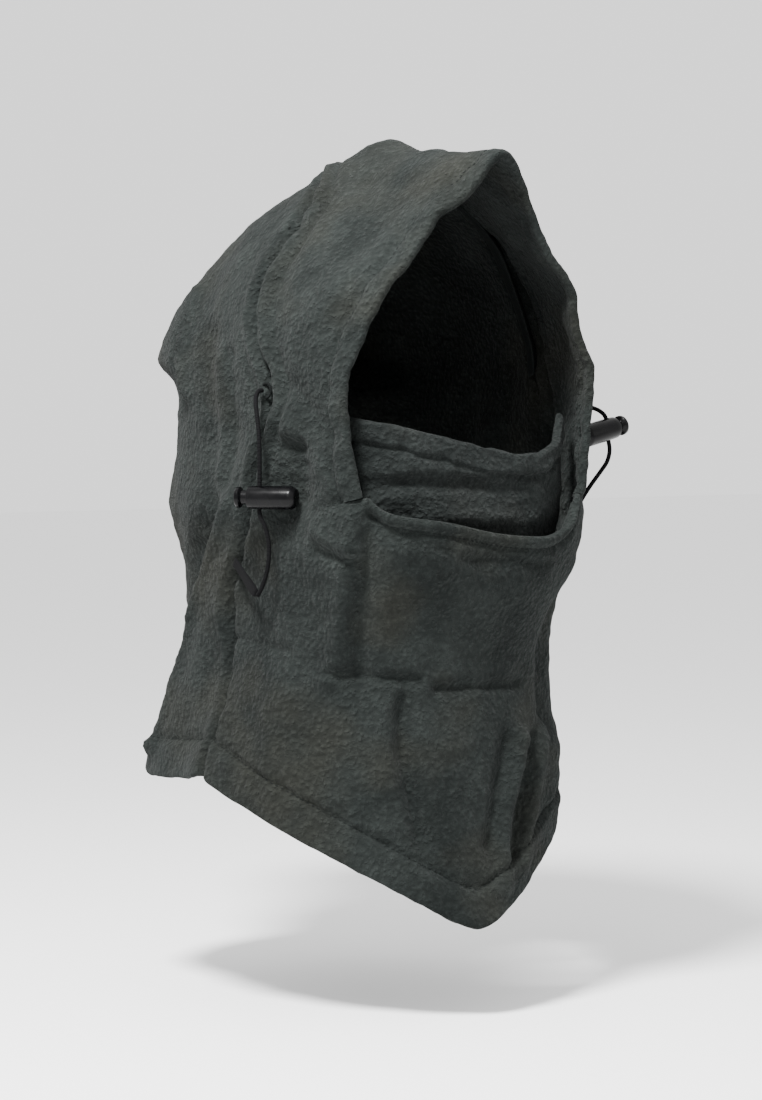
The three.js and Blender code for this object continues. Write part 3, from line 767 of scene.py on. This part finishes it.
def make_band():
    places = BAND_START + 2 * (SEAM_TOP - BAND_START) * spaced(270, 560)
    shares = spaced(34, 70)
    grid = band_grid(places, shares)
    offset = resample(band_offset, on_net(places, band_places), on_net(shares, band_shares))
    edge = travelled(grid, 1)[0]
    sag = BRIM_SAG * bell((grid[..., 0] - BRIM_SAG_X) / BRIM_SAG_WIDTH) * bell(edge / BRIM_SAG_DEPTH)
    offset[..., 2] -= sag * smoothstep(grid[..., 2], 70, 95)
    ends = {"low": PLAIN_SEAM, "high": PLAIN_SEAM}
    panel = Panel(grid, offset, ["first"], {"first": OPENING_HEM}, plain=ends)
    from_seam = panel.from_last
    level = places[:, None]
    has_casing = smoothstep(level, CASING_LOW, CASING_LOW + 0.5)
    has_casing = has_casing * smoothstep(2 * SEAM_TOP - level, CASING_LOW, CASING_LOW + 0.5)
    gathers = 1 + 0.22 * ripple(grid, PUCKER_WAVE, 21)
    panel.rise += has_casing * CASING_RISE * gathers * bell((from_seam - CASING_MIDDLE) / CASING_HALF)
    panel.rise -= has_casing * GROOVE * bell((from_seam - CASING_GROOVE_AT) / GROOVE_WIDTH)
    return panel


def make_side(sign, offset):
    places = spaced(190, 420) * (SEAM_TOP - 0.004)
    shares = spaced(80, 175)
    grid = side_grid(sign, places, shares)
    fine = resample(offset, on_net(places, side_places), on_net(shares, side_shares))
    panel = Panel(grid, fine, ["low"], {"low": HEM_WIDTH})
    level = places[:, None]
    near_exit = smoothstep(level, CASING_LOW - 0.3, CASING_LOW + 0.3) * smoothstep(-level, -9, -7)
    panel.rise += SEAM_BULK * near_exit * bell((panel.from_first - 6) / 3.5)
    panel.rise -= 0.5 * SEAM_BULK * near_exit * bell((panel.from_first - 12.5) / 3)
    return panel


def make_bib():
    heights = spaced(100, 190)
    shares = 2 * spaced(150, 300) - 1
    grid = bib_grid(heights, shares)
    offset = resample(bib_offset, on_net(heights, bib_heights), on_net(shares, bib_shares))
    panel = Panel(grid, offset, ["low"], {"low": HEM_WIDTH}, plain={"high": PLAIN_SEAM})
    # The middle of the top edge is the free lip, and the rest is sewn to the band.
    lip = 1 - smoothstep(np.abs(shares)[None, :], CORNER_SHARE - 0.01, CORNER_SHARE + 0.01)
    from_lip = panel.from_high
    panel.rolled["high"] = lip
    panel.rise += lip * PLAIN_SEAM * SEAM_DIP * bell(from_lip / SEAM_DIP_WIDTH)
    padding = LIP_PADDING * (1 - smoothstep(from_lip, LIP_HEM - 2, LIP_HEM + 1))
    panel.rise += lip * (padding - GROOVE * bell((from_lip - LIP_HEM) / GROOVE_WIDTH))
    extra = lip * HEM_EXTRA * (1 - smoothstep(from_lip, 12, 14.5))
    panel.thickness = np.maximum(panel.thickness, FLEECE + extra)
    return panel


def make_mask():
    grid = mask_grid(spaced(44, 70), 2 * spaced(120, 240) - 1)
    sides = ["low", "high", "first", "last"]
    return Panel(grid, np.zeros_like(grid), sides, {"high": OPENING_HEM}, MASK_FOLDS)


# ---- Materials ----


class Nodes:
    """A small helper for building a node material."""

    def __init__(self, name):
        self.material = bpy.data.materials.new(name)
        self.material.use_nodes = True
        self.tree = self.material.node_tree
        self.shader = self.tree.nodes["Principled BSDF"]
        self.place = self.tree.nodes.new("ShaderNodeTexCoord").outputs["Object"]

    def add(self, kind, inputs=None, **settings):
        node = self.tree.nodes.new(kind)
        for key, value in settings.items():
            setattr(node, key, value)
        for key, value in (inputs or {}).items():
            if isinstance(value, bpy.types.NodeSocket):
                self.tree.links.new(value, node.inputs[key])
            else:
                node.inputs[key].default_value = value
        return node

    def noise(self, scale, detail=2, roughness=0.5, stretch=None):
        place = self.place
        if stretch:
            place = self.add("ShaderNodeMapping", {"Vector": place, "Scale": stretch}).outputs["Vector"]
        inputs = {"Vector": place, "Scale": scale, "Detail": detail, "Roughness": roughness}
        return self.add("ShaderNodeTexNoise", inputs).outputs["Fac"]

    def spread(self, value, low, high, to_low=0.0, to_high=1.0):
        inputs = {"Value": value, "From Min": low, "From Max": high, "To Min": to_low, "To Max": to_high}
        return self.add("ShaderNodeMapRange", inputs).outputs["Result"]

    def mix(self, share, a, b):
        node = self.add("ShaderNodeMix", data_type="RGBA")
        for key, value in ((0, share), (6, a), (7, b)):
            if isinstance(value, bpy.types.NodeSocket):
                self.tree.links.new(value, node.inputs[key])
            else:
                node.inputs[key].default_value = value
        return node.outputs[2]

    def bump(self, height, distance, strength, under=None):
        inputs = {"Height": height, "Distance": distance, "Strength": strength}
        if under:
            inputs["Normal"] = under
        return self.add("ShaderNodeBump", inputs).outputs["Normal"]

    def finish(self, **sockets):
        for key, value in sockets.items():
            socket = self.shader.inputs[key.replace("_", " ")]
            if isinstance(value, bpy.types.NodeSocket):
                self.tree.links.new(value, socket)
            else:
                socket.default_value = value
        return self.material


def make_fleece(name, dark, light, warm):
    """Short-pile fleece: clumps of pile 2 to 3 mm across, finer fibre, a soft mottle of two tints, and painted
    shade between the nubs.
    """
    n = Nodes(name)
    patches = n.spread(n.noise(26, 3, 0.6), 0.34, 0.66)
    spots = n.add("ShaderNodeTexVoronoi", {"Vector": n.place, "Scale": 430}, feature="SMOOTH_F1")
    cells = spots.outputs["Distance"]
    round_nubs = n.spread(cells, 0.1, 0.75, 1, 0)
    loose = n.spread(n.noise(240, 3, 0.65), 0.3, 0.7)
    clumps = n.add("ShaderNodeMath", {0: round_nubs, 1: loose}, operation="MULTIPLY").outputs["Value"]
    fibre = n.noise(1500, 2, 0.6)
    warmth = n.spread(n.noise(17, 2, 0.5), 0.5, 0.72, 0, 0.75)
    tone = n.mix(patches, dark, light)
    tone = n.mix(warmth, tone, warm)
    # painted shade and light: the colour is darker in the hollows between the pile nubs and lighter on their raised
    # tops, following the same clumps as the bump
    nub_shade = n.spread(clumps, 0, 0.7, 0.7, 1.3)
    tint = n.add("ShaderNodeVectorMath", {0: tone, 1: nub_shade}, operation="MULTIPLY").outputs["Vector"]
    nubs = n.bump(clumps, 0.0022, 1.0)
    fine = n.bump(fibre, 0.0007, 0.8, nubs)
    return n.finish(
        Base_Color=tint,
        Roughness=0.98,
        Normal=fine,
        Specular_IOR_Level=0.06,
        Sheen_Weight=0.025,
        Sheen_Roughness=0.45,
        Sheen_Tint=(0.85, 0.88, 0.87, 1),
    )


def make_thread(name, colour):
    n = Nodes(name)
    ply = n.noise(2600, 2, 0.6)
    tint = n.mix(n.spread(ply, 0.35, 0.65), tuple(c * 0.7 for c in colour) + (1,), tuple(colour) + (1,))
    return n.finish(Base_Color=tint, Roughness=0.9, Normal=n.bump(ply, 0.0002, 0.6), Specular_IOR_Level=0.05)


def make_braid(name):
    """The woven sleeve of an elastic cord: fine bands that cross."""
    n = Nodes(name)
    waves = [
        n.add("ShaderNodeTexWave", {"Vector": n.place, "Scale": 300, "Distortion": 1.5}, bands_direction=way)
        for way in ("DIAGONAL", "Z")
    ]
    both = n.add("ShaderNodeMath", {k: waves[k].outputs["Fac"] for k in (0, 1)}, operation="MAXIMUM")
    tint = n.mix(both.outputs["Value"], (0.001, 0.001, 0.0012, 1), (0.003, 0.003, 0.0033, 1))
    normal = n.bump(both.outputs["Value"], 0.00025, 0.7)
    return n.finish(Base_Color=tint, Roughness=0.8, Normal=normal, Specular_IOR_Level=0.05)


def make_plastic(name):
    n = Nodes(name)
    grain = n.noise(900, 3, 0.6)
    wear = n.noise(120, 2, 0.5)
    tint = n.mix(n.spread(wear, 0.4, 0.6), (0.0008, 0.0008, 0.001, 1), (0.002, 0.002, 0.0022, 1))
    rough = n.spread(wear, 0.35, 0.65, 0.2, 0.3)
    normal = n.bump(grain, 0.00006, 0.3)
    return n.finish(Base_Color=tint, Roughness=rough, Normal=normal, Specular_IOR_Level=0.1)


def make_leather(name):
    n = Nodes(name)
    cells = n.add("ShaderNodeTexVoronoi", {"Vector": n.place, "Scale": 1500}).outputs["Distance"]
    tint = n.mix(n.spread(cells, 0, 0.6), (0.001, 0.001, 0.0012, 1), (0.003, 0.003, 0.0033, 1))
    normal = n.bump(cells, 0.0002, 0.5)
    return n.finish(Base_Color=tint, Roughness=0.8, Normal=normal, Specular_IOR_Level=0.06)


def make_tape(name):
    n = Nodes(name)
    rib = n.add("ShaderNodeTexWave", {"Vector": n.place, "Scale": 420, "Distortion": 0.6}).outputs["Fac"]
    tint = n.mix(rib, (0.005, 0.006, 0.0058, 1), (0.011, 0.013, 0.0125, 1))
    return n.finish(Base_Color=tint, Roughness=0.9, Normal=n.bump(rib, 0.0002, 0.6), Specular_IOR_Level=0.06)


def make_steel(name):
    n = Nodes(name)
    drawn = n.noise(1800, 2, 0.5)
    rough = n.spread(drawn, 0.3, 0.7, 0.22, 0.4)
    return n.finish(Base_Color=(0.5, 0.5, 0.52, 1), Metallic=1.0, Roughness=rough)


fleece = make_fleece(
    "fleece", (0.0072, 0.0088, 0.0083, 1), (0.0135, 0.0160, 0.0150, 1), (0.0150, 0.0155, 0.0128, 1)
)
fleece_inside = make_fleece(
    "fleece_inside", (0.008, 0.0096, 0.0092, 1), (0.012, 0.014, 0.0134, 1), (0.0125, 0.013, 0.0118, 1)
)
thread = make_thread("sewing_thread", (0.006, 0.007, 0.0068))
braid = make_braid("braided_elastic")
plastic = make_plastic("lock_plastic")
leather = make_leather("tab_leather")
tape = make_tape("casing_tape")
steel = make_steel("spring_steel")


def belong(piece, body, material, slot, *nodes):
    piece.data.materials.clear()
    piece.data.materials.append(material)
    if body:
        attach(piece, body)
    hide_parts(*nodes)
    return piece


# ---- The drawcord ----

CORD_RADIUS = 1.2
FREE_CORD = {
    "right": [
        (-94.8, -16.2, 0), (-97.6, -16.6, -0.5), (-100.2, -18.2, -3.6), (-101.8, -21, -9), (-102.7, -24, -16),
        (-103, -26, -24), (-103, -26.5, -33), (-103, -26.5, -57), (-103, -26.6, -66), (-101.2, -28.6, -72),
        (-99.4, -29.6, -80), (-98.8, -29, -89), (-98.6, -26, -98), (-98.6, -21, -106), (-98.8, -17.3, -110),
    ],
    "left": [
        (94.8, -16.2, 0), (97.8, -18, -0.6), (100.6, -23, -2.6), (103.6, -29.5, -5.6), (107.6, -36.6, -9.6),
        (110.9, -41.6, -12), (113.2, -44.4, -15.7), (114.5, -44.1, -22.6), (115.6, -43.9, -28.5),
        (116.7, -43.6, -34.4), (116.2, -42, -40.5), (113.8, -39.4, -46), (108.6, -34.6, -56),
        (103.8, -29.6, -68), (100.4, -25.6, -82), (98.8, -22.8, -95), (98.6, -20.2, -104.5),
        (98.8, -17.3, -110),
    ],
}
# Depths below the outer face over the crown, and the tape that holds the cord there.
CROWN_CORD_DEPTH, CASING_DEPTH, TAPE_WIDTH, TAPE_THICKNESS = 4.3, 6.4, 12, 0.8


def capped_faces(rings, sides, first=0):
    """Faces of a row of rings of vertices, closed at both ends."""
    index = first + np.arange(rings * sides).reshape(rings, sides)
    index = np.concatenate([index, index[:, :1]], axis=1)
    return quads(index).tolist() + [index[0, -2::-1].tolist(), index[-1, :-1].tolist()]


def tube(name, points, radius, sides=14):
    """A closed tube along the points; radius is one number or one for each point."""
    points = np.asarray(points, dtype=float)
    radii = np.broadcast_to(radius, len(points))
    along = unit(np.gradient(points, axis=0))
    across = np.zeros_like(points)
    side = np.cross(along[0], (0.3, 0.2, 0.9))
    for i, direction in enumerate(along):
        side = side - direction * (side @ direction)
        side /= np.linalg.norm(side)
        across[i] = side
    other = np.cross(along, across)
    angles = np.arange(sides) * 2 * math.pi / sides
    ring = across[:, None] * np.cos(angles)[None, :, None] + other[:, None] * np.sin(angles)[None, :, None]
    vertices = (points[:, None] + ring * radii[:, None, None]).reshape(-1, 3)
    made = new_object(name, vertices, capped_faces(len(points), sides))
    face_outward(made)
    return made


def make_free_cord(side):
    route = FREE_CORD[side]
    points = spline(route, np.linspace(0, len(route) - 1, 150))
    piece = tube("elastic_cord_" + side, points, CORD_RADIUS)
    belong(piece, "garment", braid, "elastic_cord", "drawcord_" + side)


def casing_line(start, count):
    """Points of the casing: at the seam by each exit, and in front of it over the crown."""
    places = np.linspace(start, 2 * SEAM_TOP - start, count)
    ends = np.minimum(places, 2 * SEAM_TOP - places) - start
    forward = -CASING_MIDDLE * smoothstep(ends, 0, 0.6)
    return on_surface(seam_at(places) + np.stack([0 * forward, forward, 0 * forward], axis=1))


def make_crown_cord():
    at = casing_line(EXIT_POINT + 0.22, 160)
    away = unit(at - (0, 20, 0))
    piece = tube("elastic_cord_crown", at - away * CROWN_CORD_DEPTH, CORD_RADIUS, 10)
    belong(piece, "garment", braid, "elastic_cord", "drawcord_crown")


def make_casing():
    at = casing_line(EXIT_POINT + 0.25, 180)
    away = unit(at - (0, 20, 0))
    across = unit(np.cross(away, np.gradient(at, axis=0)))
    shares = np.linspace(-TAPE_WIDTH / 2, TAPE_WIDTH / 2, 9)[None, :, None]
    face = (at - away * CASING_DEPTH)[:, None] + across[:, None] * shares
    piece = closed_layer("casing", face, face - away[:, None] * TAPE_THICKNESS)
    belong(piece, "garment", tape, "casing_tape", "drawcord_casing")


def frame_of(at, aim, near):
    """A matrix whose X is aim and whose Z is as near as it can be to the other direction."""
    x = Vector(aim).normalized()
    z = Vector(near)
    z = (z - x * z.dot(x)).normalized()
    rotation = Matrix((x, z.cross(x), z)).transposed().to_4x4()
    return Matrix.Translation(Vector(at) * MM) @ rotation


RING_RADIUS, RING_HEIGHT, RING_STITCHES, STITCH_THICKNESS, STITCH_SWELL = 3.9, 0.4, 28, 0.62, 0.16
RING_WIDENING = 1.15


def make_exit_ring(side, sign):
    """A stitched eyelet: a ring of close stitches round the hole."""
    at = seam_at(np.array([float(EXIT_POINT)]))[0] * (-sign, 1, 1)
    angles = np.linspace(0, 2 * math.pi, 169)[:-1]
    section = np.linspace(0, 2 * math.pi, 9)[:-1]
    stitch = STITCH_THICKNESS + STITCH_SWELL * np.cos(RING_STITCHES * angles)
    radial = RING_RADIUS + stitch[:, None] * np.cos(section)[None, :] * RING_WIDENING
    vertices = np.stack([
        np.broadcast_to(RING_HEIGHT + stitch[:, None] * np.sin(section)[None, :], radial.shape),
        radial * np.cos(angles)[:, None],
        radial * np.sin(angles)[:, None],
    ], axis=-1)
    index = np.arange(radial.size).reshape(radial.shape)
    index = np.concatenate([index, index[:1]])
    index = np.concatenate([index, index[:, :1]], axis=1)
    piece = new_object("eyelet_" + side, vertices.reshape(-1, 3), quads(index).tolist())
    face_outward(piece)
    piece.data.transform(frame_of(at, (sign, -0.12, 0), (0, 0, 1)))
    belong(piece, "garment", thread, "thread", "cord_exit_ring_" + side)


TAB_ROOT, TAB_END, TAB_WIDTH = (-97.6, 9, -93), (-98.6, -15.2, -109.4), 5


def make_tab(side, sign):
    """A folded leather tab that grips the end of the cord: flat at its root, thicker where it folds."""
    root, end = np.array(TAB_ROOT) * (-sign, 1, 1), np.array(TAB_END) * (-sign, 1, 1)
    length = np.linalg.norm(end - root)
    t = np.linspace(0, 1, 25)
    half_width = TAB_WIDTH / 2 * np.clip(np.sqrt(np.clip((1 - t) * 9, 0, 1)) * 0.35 + 0.65, 0, 1)
    half_thick = 0.6 + 0.75 * smoothstep(t, 0.35, 0.8) * np.sqrt(np.clip((1.04 - t) * 14, 0.2, 1))
    angles = np.linspace(0, 2 * math.pi, 25)[:-1]
    corner = lambda c: np.sign(c) * np.abs(c) ** 0.35
    vertices = np.stack([
        np.broadcast_to((t * length)[:, None], (len(t), len(angles))),
        half_width[:, None] * corner(np.cos(angles))[None, :],
        half_thick[:, None] * corner(np.sin(angles))[None, :],
    ], axis=-1)
    piece = new_object("leather_tab_" + side, vertices.reshape(-1, 3), capped_faces(len(t), len(angles)))
    face_outward(piece)
    piece.data.transform(frame_of(root, end - root, (sign, 0, 0)))
    belong(piece, "garment", leather, "tab", "cord_tab_" + side)


# ---- The cord locks ----

LOCK_PLACE = {
    "right": ((-103, -26.5, -57), (0.63, -0.777, 0)),
    "left": ((114.5, -44.1, -22.6), (-0.96, -0.2, -0.19)),
}
BORE_DEPTH, HOLE_X, HOLE_RADIUS = 24, 6, 2.1
BARREL = [
    (4.2, 0), (5.6, 0), (5.95, 0.15), (6.05, 0.5), (6.15, 3), (6.3, 9), (6.3, 23.6), (6.22, 24.2), (5.9, 25),
    (4.9, 26.6), (4.6, 26.9), (4.2, 27), (0, 27), (0, 24), (4.2, 24), (4.2, 0),
]
PLUNGER = [
    (0, -6.85), (3.6, -6.9), (4.6, -7), (5.2, -6.85), (5.5, -6.5), (5.6, -6), (5.6, -5), (5.4, -4.7),
    (4.3, -4.1), (3.8, -3.6), (3.8, 11.6), (3.6, 11.9), (3.3, 12), (0, 12),
]
STEM_END = 12
SPRING_RADIUS, SPRING_WIRE, SPRING_TURNS = 2.9, 0.3, 6


def lathe(name, profile, sides=56):
    """A body turned about X from a list of radius and distance along the axis."""
    work = bmesh.new()
    rings = []
    for radius, x in profile:
        if radius == 0:
            rings.append([work.verts.new((x, 0, 0))] * sides)
            continue
        angles = [2 * math.pi * i / sides for i in range(sides)]
        rings.append([work.verts.new((x, radius * math.cos(a), radius * math.sin(a))) for a in angles])
    for a, b in zip(rings[:-1], rings[1:]):
        for i in range(sides):
            corners = [a[i], a[(i + 1) % sides], b[(i + 1) % sides], b[i]]
            distinct = list(dict.fromkeys(corners))
            if len(distinct) > 2:
                work.faces.new(distinct)
    bmesh.ops.remove_doubles(work, verts=work.verts, dist=1e-4)
    bmesh.ops.recalc_face_normals(work, faces=work.faces)
    bmesh.ops.scale(work, vec=(MM, MM, MM), verts=work.verts)
    mesh = bpy.data.meshes.new(name)
    work.to_mesh(mesh)
    work.free()
    made = bpy.data.objects.new(name, mesh)
    bpy.context.collection.objects.link(made)
    return made


def cut_away(piece, size, at, is_round):
    """Cuts a hole along Z through the piece: a cylinder, or a slot whose size is its length and width."""
    work = bmesh.new()
    if is_round:
        bmesh.ops.create_cone(work, cap_ends=True, segments=28, radius1=size[0], radius2=size[0], depth=18)
    else:
        bmesh.ops.create_cube(work, size=1)
        bmesh.ops.scale(work, vec=(size[0], size[1], 18), verts=work.verts)
    bmesh.ops.translate(work, vec=(at, 0, 0), verts=work.verts)
    bmesh.ops.scale(work, vec=(MM, MM, MM), verts=work.verts)
    mesh = bpy.data.meshes.new("cutter")
    work.to_mesh(mesh)
    work.free()
    cutter = bpy.data.objects.new("cutter", mesh)
    bpy.context.collection.objects.link(cutter)
    modifier = piece.modifiers.new("cut", "BOOLEAN")
    modifier.object = cutter
    modifier.solver = "EXACT"
    result = bpy.data.meshes.new_from_object(piece.evaluated_get(bpy.context.evaluated_depsgraph_get()))
    piece.modifiers.clear()
    piece.data = result
    bpy.data.objects.remove(cutter)


def shade_by_angle(piece, degrees=32):
    piece.data.polygons.foreach_set("use_smooth", [True] * len(piece.data.polygons))
    piece.data.set_sharp_from_angle(angle=math.radians(degrees))


def make_lock(side):
    at, aim = LOCK_PLACE[side]
    direction = Vector(aim).normalized()
    start = Vector(at) - direction * HOLE_X
    place = frame_of(start, direction, (0, 0, 1))
    barrel = lathe("lock_body_" + side, BARREL)
    cut_away(barrel, (HOLE_RADIUS,), HOLE_X, True)
    plunger = lathe("lock_button_" + side, PLUNGER)
    cut_away(plunger, (7.5, 3.4), 4.15, False)
    for piece in (barrel, plunger):
        shade_by_angle(piece)
        piece.data.transform(place)
    belong(barrel, "lock_" + side, plastic, "lock_plastic", "lock_barrel_" + side)
    belong(plunger, "plunger_" + side, plastic, "lock_plastic", "lock_plunger_" + side)
    low, high = STEM_END + 0.5, BORE_DEPTH - 0.5
    turn = np.linspace(0, 1, 200)
    angle = 2 * math.pi * SPRING_TURNS * turn
    coil = np.stack([
        low + (high - low) * turn, SPRING_RADIUS * np.cos(angle), SPRING_RADIUS * np.sin(angle)
    ], axis=1)
    spring = tube("coil_spring_" + side, coil, SPRING_WIRE, 8)
    spring.data.transform(place)
    belong(spring, "lock_" + side, steel, "spring_steel", "lock_spring_" + side)
    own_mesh(spring)


# ---- Stitching ----

STITCH_LENGTH, STITCH_PITCH, STITCH_RADIUS, STITCH_SINK = 2.5, 3.3, 0.3, 0.1


def stitches(name, lines, node):
    """Separate stitches along one or more lines of points with normals."""
    vertices, faces = [], []
    profile = [(-0.5, 0.3, -0.5), (-0.3, 0.9, 0.1), (0, 1, 0.25), (0.3, 0.9, 0.1), (0.5, 0.3, -0.5)]
    sides = 6
    for points, normals in lines:
        reach = np.concatenate([[0], np.cumsum(np.linalg.norm(np.diff(points, axis=0), axis=1))])
        stops = np.arange(STITCH_PITCH, reach[-1] - STITCH_PITCH, STITCH_PITCH)
        at = np.stack([np.interp(stops, reach, points[:, k]) for k in range(3)], axis=1)
        next_at = np.stack([np.interp(stops + 1, reach, points[:, k]) for k in range(3)], axis=1)
        up = unit(np.stack([np.interp(stops, reach, normals[:, k]) for k in range(3)], axis=1))
        along = unit(next_at - at)
        across = np.cross(along, up)
        for p, a, b, c in zip(at, along, up, across):
            first = len(vertices)
            for x, radius, lift in profile:
                middle = p + a * x * STITCH_LENGTH + b * (lift * STITCH_RADIUS - STITCH_SINK)
                for k in range(sides):
                    angle = 2 * math.pi * k / sides
                    turn = b * math.sin(angle) + c * math.cos(angle)
                    vertices.append(middle + turn * radius * STITCH_RADIUS)
            faces += capped_faces(len(profile), sides, first)
    piece = new_object(name, vertices, faces)
    face_outward(piece)
    return belong(piece, "garment", thread, "thread", node)


def part_of(line, low, high):
    points, normals = line
    first, last = int(low * len(points)), int(high * len(points))
    return points[first:last], normals[first:last]


# ---- What the cloth stays clear of ----

HARDWARE_GAP, HARDWARE_SOFTNESS = 0.5, 0.3
# A lock reaches this far from its cord hole, back to its button and on past its closed end.
LOCK_BACK, LOCK_AHEAD = 11, 20
LOCK_GAP, LOCK_SOFTNESS = 0.6, 2.2
LOCK_RADIUS = max(radius for radius, _ in BARREL)
LOCK_STEP, LOCK_STOPS = 8.5, {"right": 4, "left": 1}  # places of each lock along its way up the cord


def hardware_lines():
    """Groups of lines that the cloth stays clear of, each with how far and how softly.

    They are each cord, each tab and the path of each lock.
    """
    groups = []
    for side, sign in (("right", -1), ("left", 1)):
        route = np.array(FREE_CORD[side], dtype=float)
        groups.append(([route[2:]], CORD_RADIUS + HARDWARE_GAP, HARDWARE_SOFTNESS))
        tab = [np.array(p) * (-sign, 1, 1) for p in (TAB_ROOT, TAB_END)]
        groups.append(([tab], TAB_WIDTH / 2, HARDWARE_SOFTNESS))
        at, aim = (np.array(v, dtype=float) for v in LOCK_PLACE[side])
        aim /= np.linalg.norm(aim)
        middles = [at + np.array((0, 0, LOCK_STEP)) * step for step in range(LOCK_STOPS[side])]
        path = [[middle - aim * LOCK_BACK, middle + aim * LOCK_AHEAD] for middle in middles]
        groups.append((path, LOCK_RADIUS + LOCK_GAP, LOCK_SOFTNESS))
    return groups


# ---- Making the object ----

for side in ("right", "left"):
    make_free_cord(side)

band = make_band()
right = make_side(-1, right_offset)
left = make_side(1, left_offset)
bib = make_bib()
mask = make_mask()

cloths = {
    "face_band_cloth": (band, "garment", fleece, "fleece", ["face_band", "face_band_hem"]),
    "hood_right_cloth": (right, "garment", fleece, "fleece", ["hood_side_right", "cape_hem_right"]),
    "hood_left_cloth": (left, "garment", fleece, "fleece", ["hood_side_left", "cape_hem_left"]),
    "bib_cloth": (bib, "garment", fleece, "fleece", ["chest_panel", "chest_hem", "chest_top_hem"]),
    "mask_cloth": (mask, None, fleece_inside, "fleece_inside", ["mask_panel", "mask_hem"]),
}
keep_clear = hardware_lines()
for name, (panel, body, material, slot, nodes) in cloths.items():
    belong(panel.make(name, keep_clear), body, material, slot, *nodes)

pieces = bpy.data.objects
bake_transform(pieces["mask_cloth"])

make_crown_cord()
make_casing()
for side, sign in (("right", -1), ("left", 1)):
    make_exit_ring(side, sign)
    make_tab(side, sign)
    make_lock(side)

stitches("stitches_opening", [band.line("first", OPENING_HEM)], "opening_stitching")
lip_low, lip_high = (1 - CORNER_SHARE) / 2 + 0.01, (1 + CORNER_SHARE) / 2 - 0.01
stitches("stitches_lip", [part_of(bib.line("high", LIP_HEM), lip_low, lip_high)], "chest_top_stitching")
stitches("stitches_hem", [bib.line("low", HEM_WIDTH)], "chest_hem_stitching")
for side, panel, edge in (("right", right, "first"), ("left", left, "last")):
    stitches("stitches_cape_" + side, [panel.line("low", HEM_WIDTH)], "cape_hem_stitching_" + side)
    share = (EXIT_POINT - 0.5 - BAND_START) / (2 * (SEAM_TOP - BAND_START))
    above = (0, share) if side == "right" else (1 - share, 1)
    lines = [bib.line(edge, 4), part_of(band.line("last", 4), *above)]
    stitches("stitches_seam_" + side, lines, "side_seam_stitching_" + side)
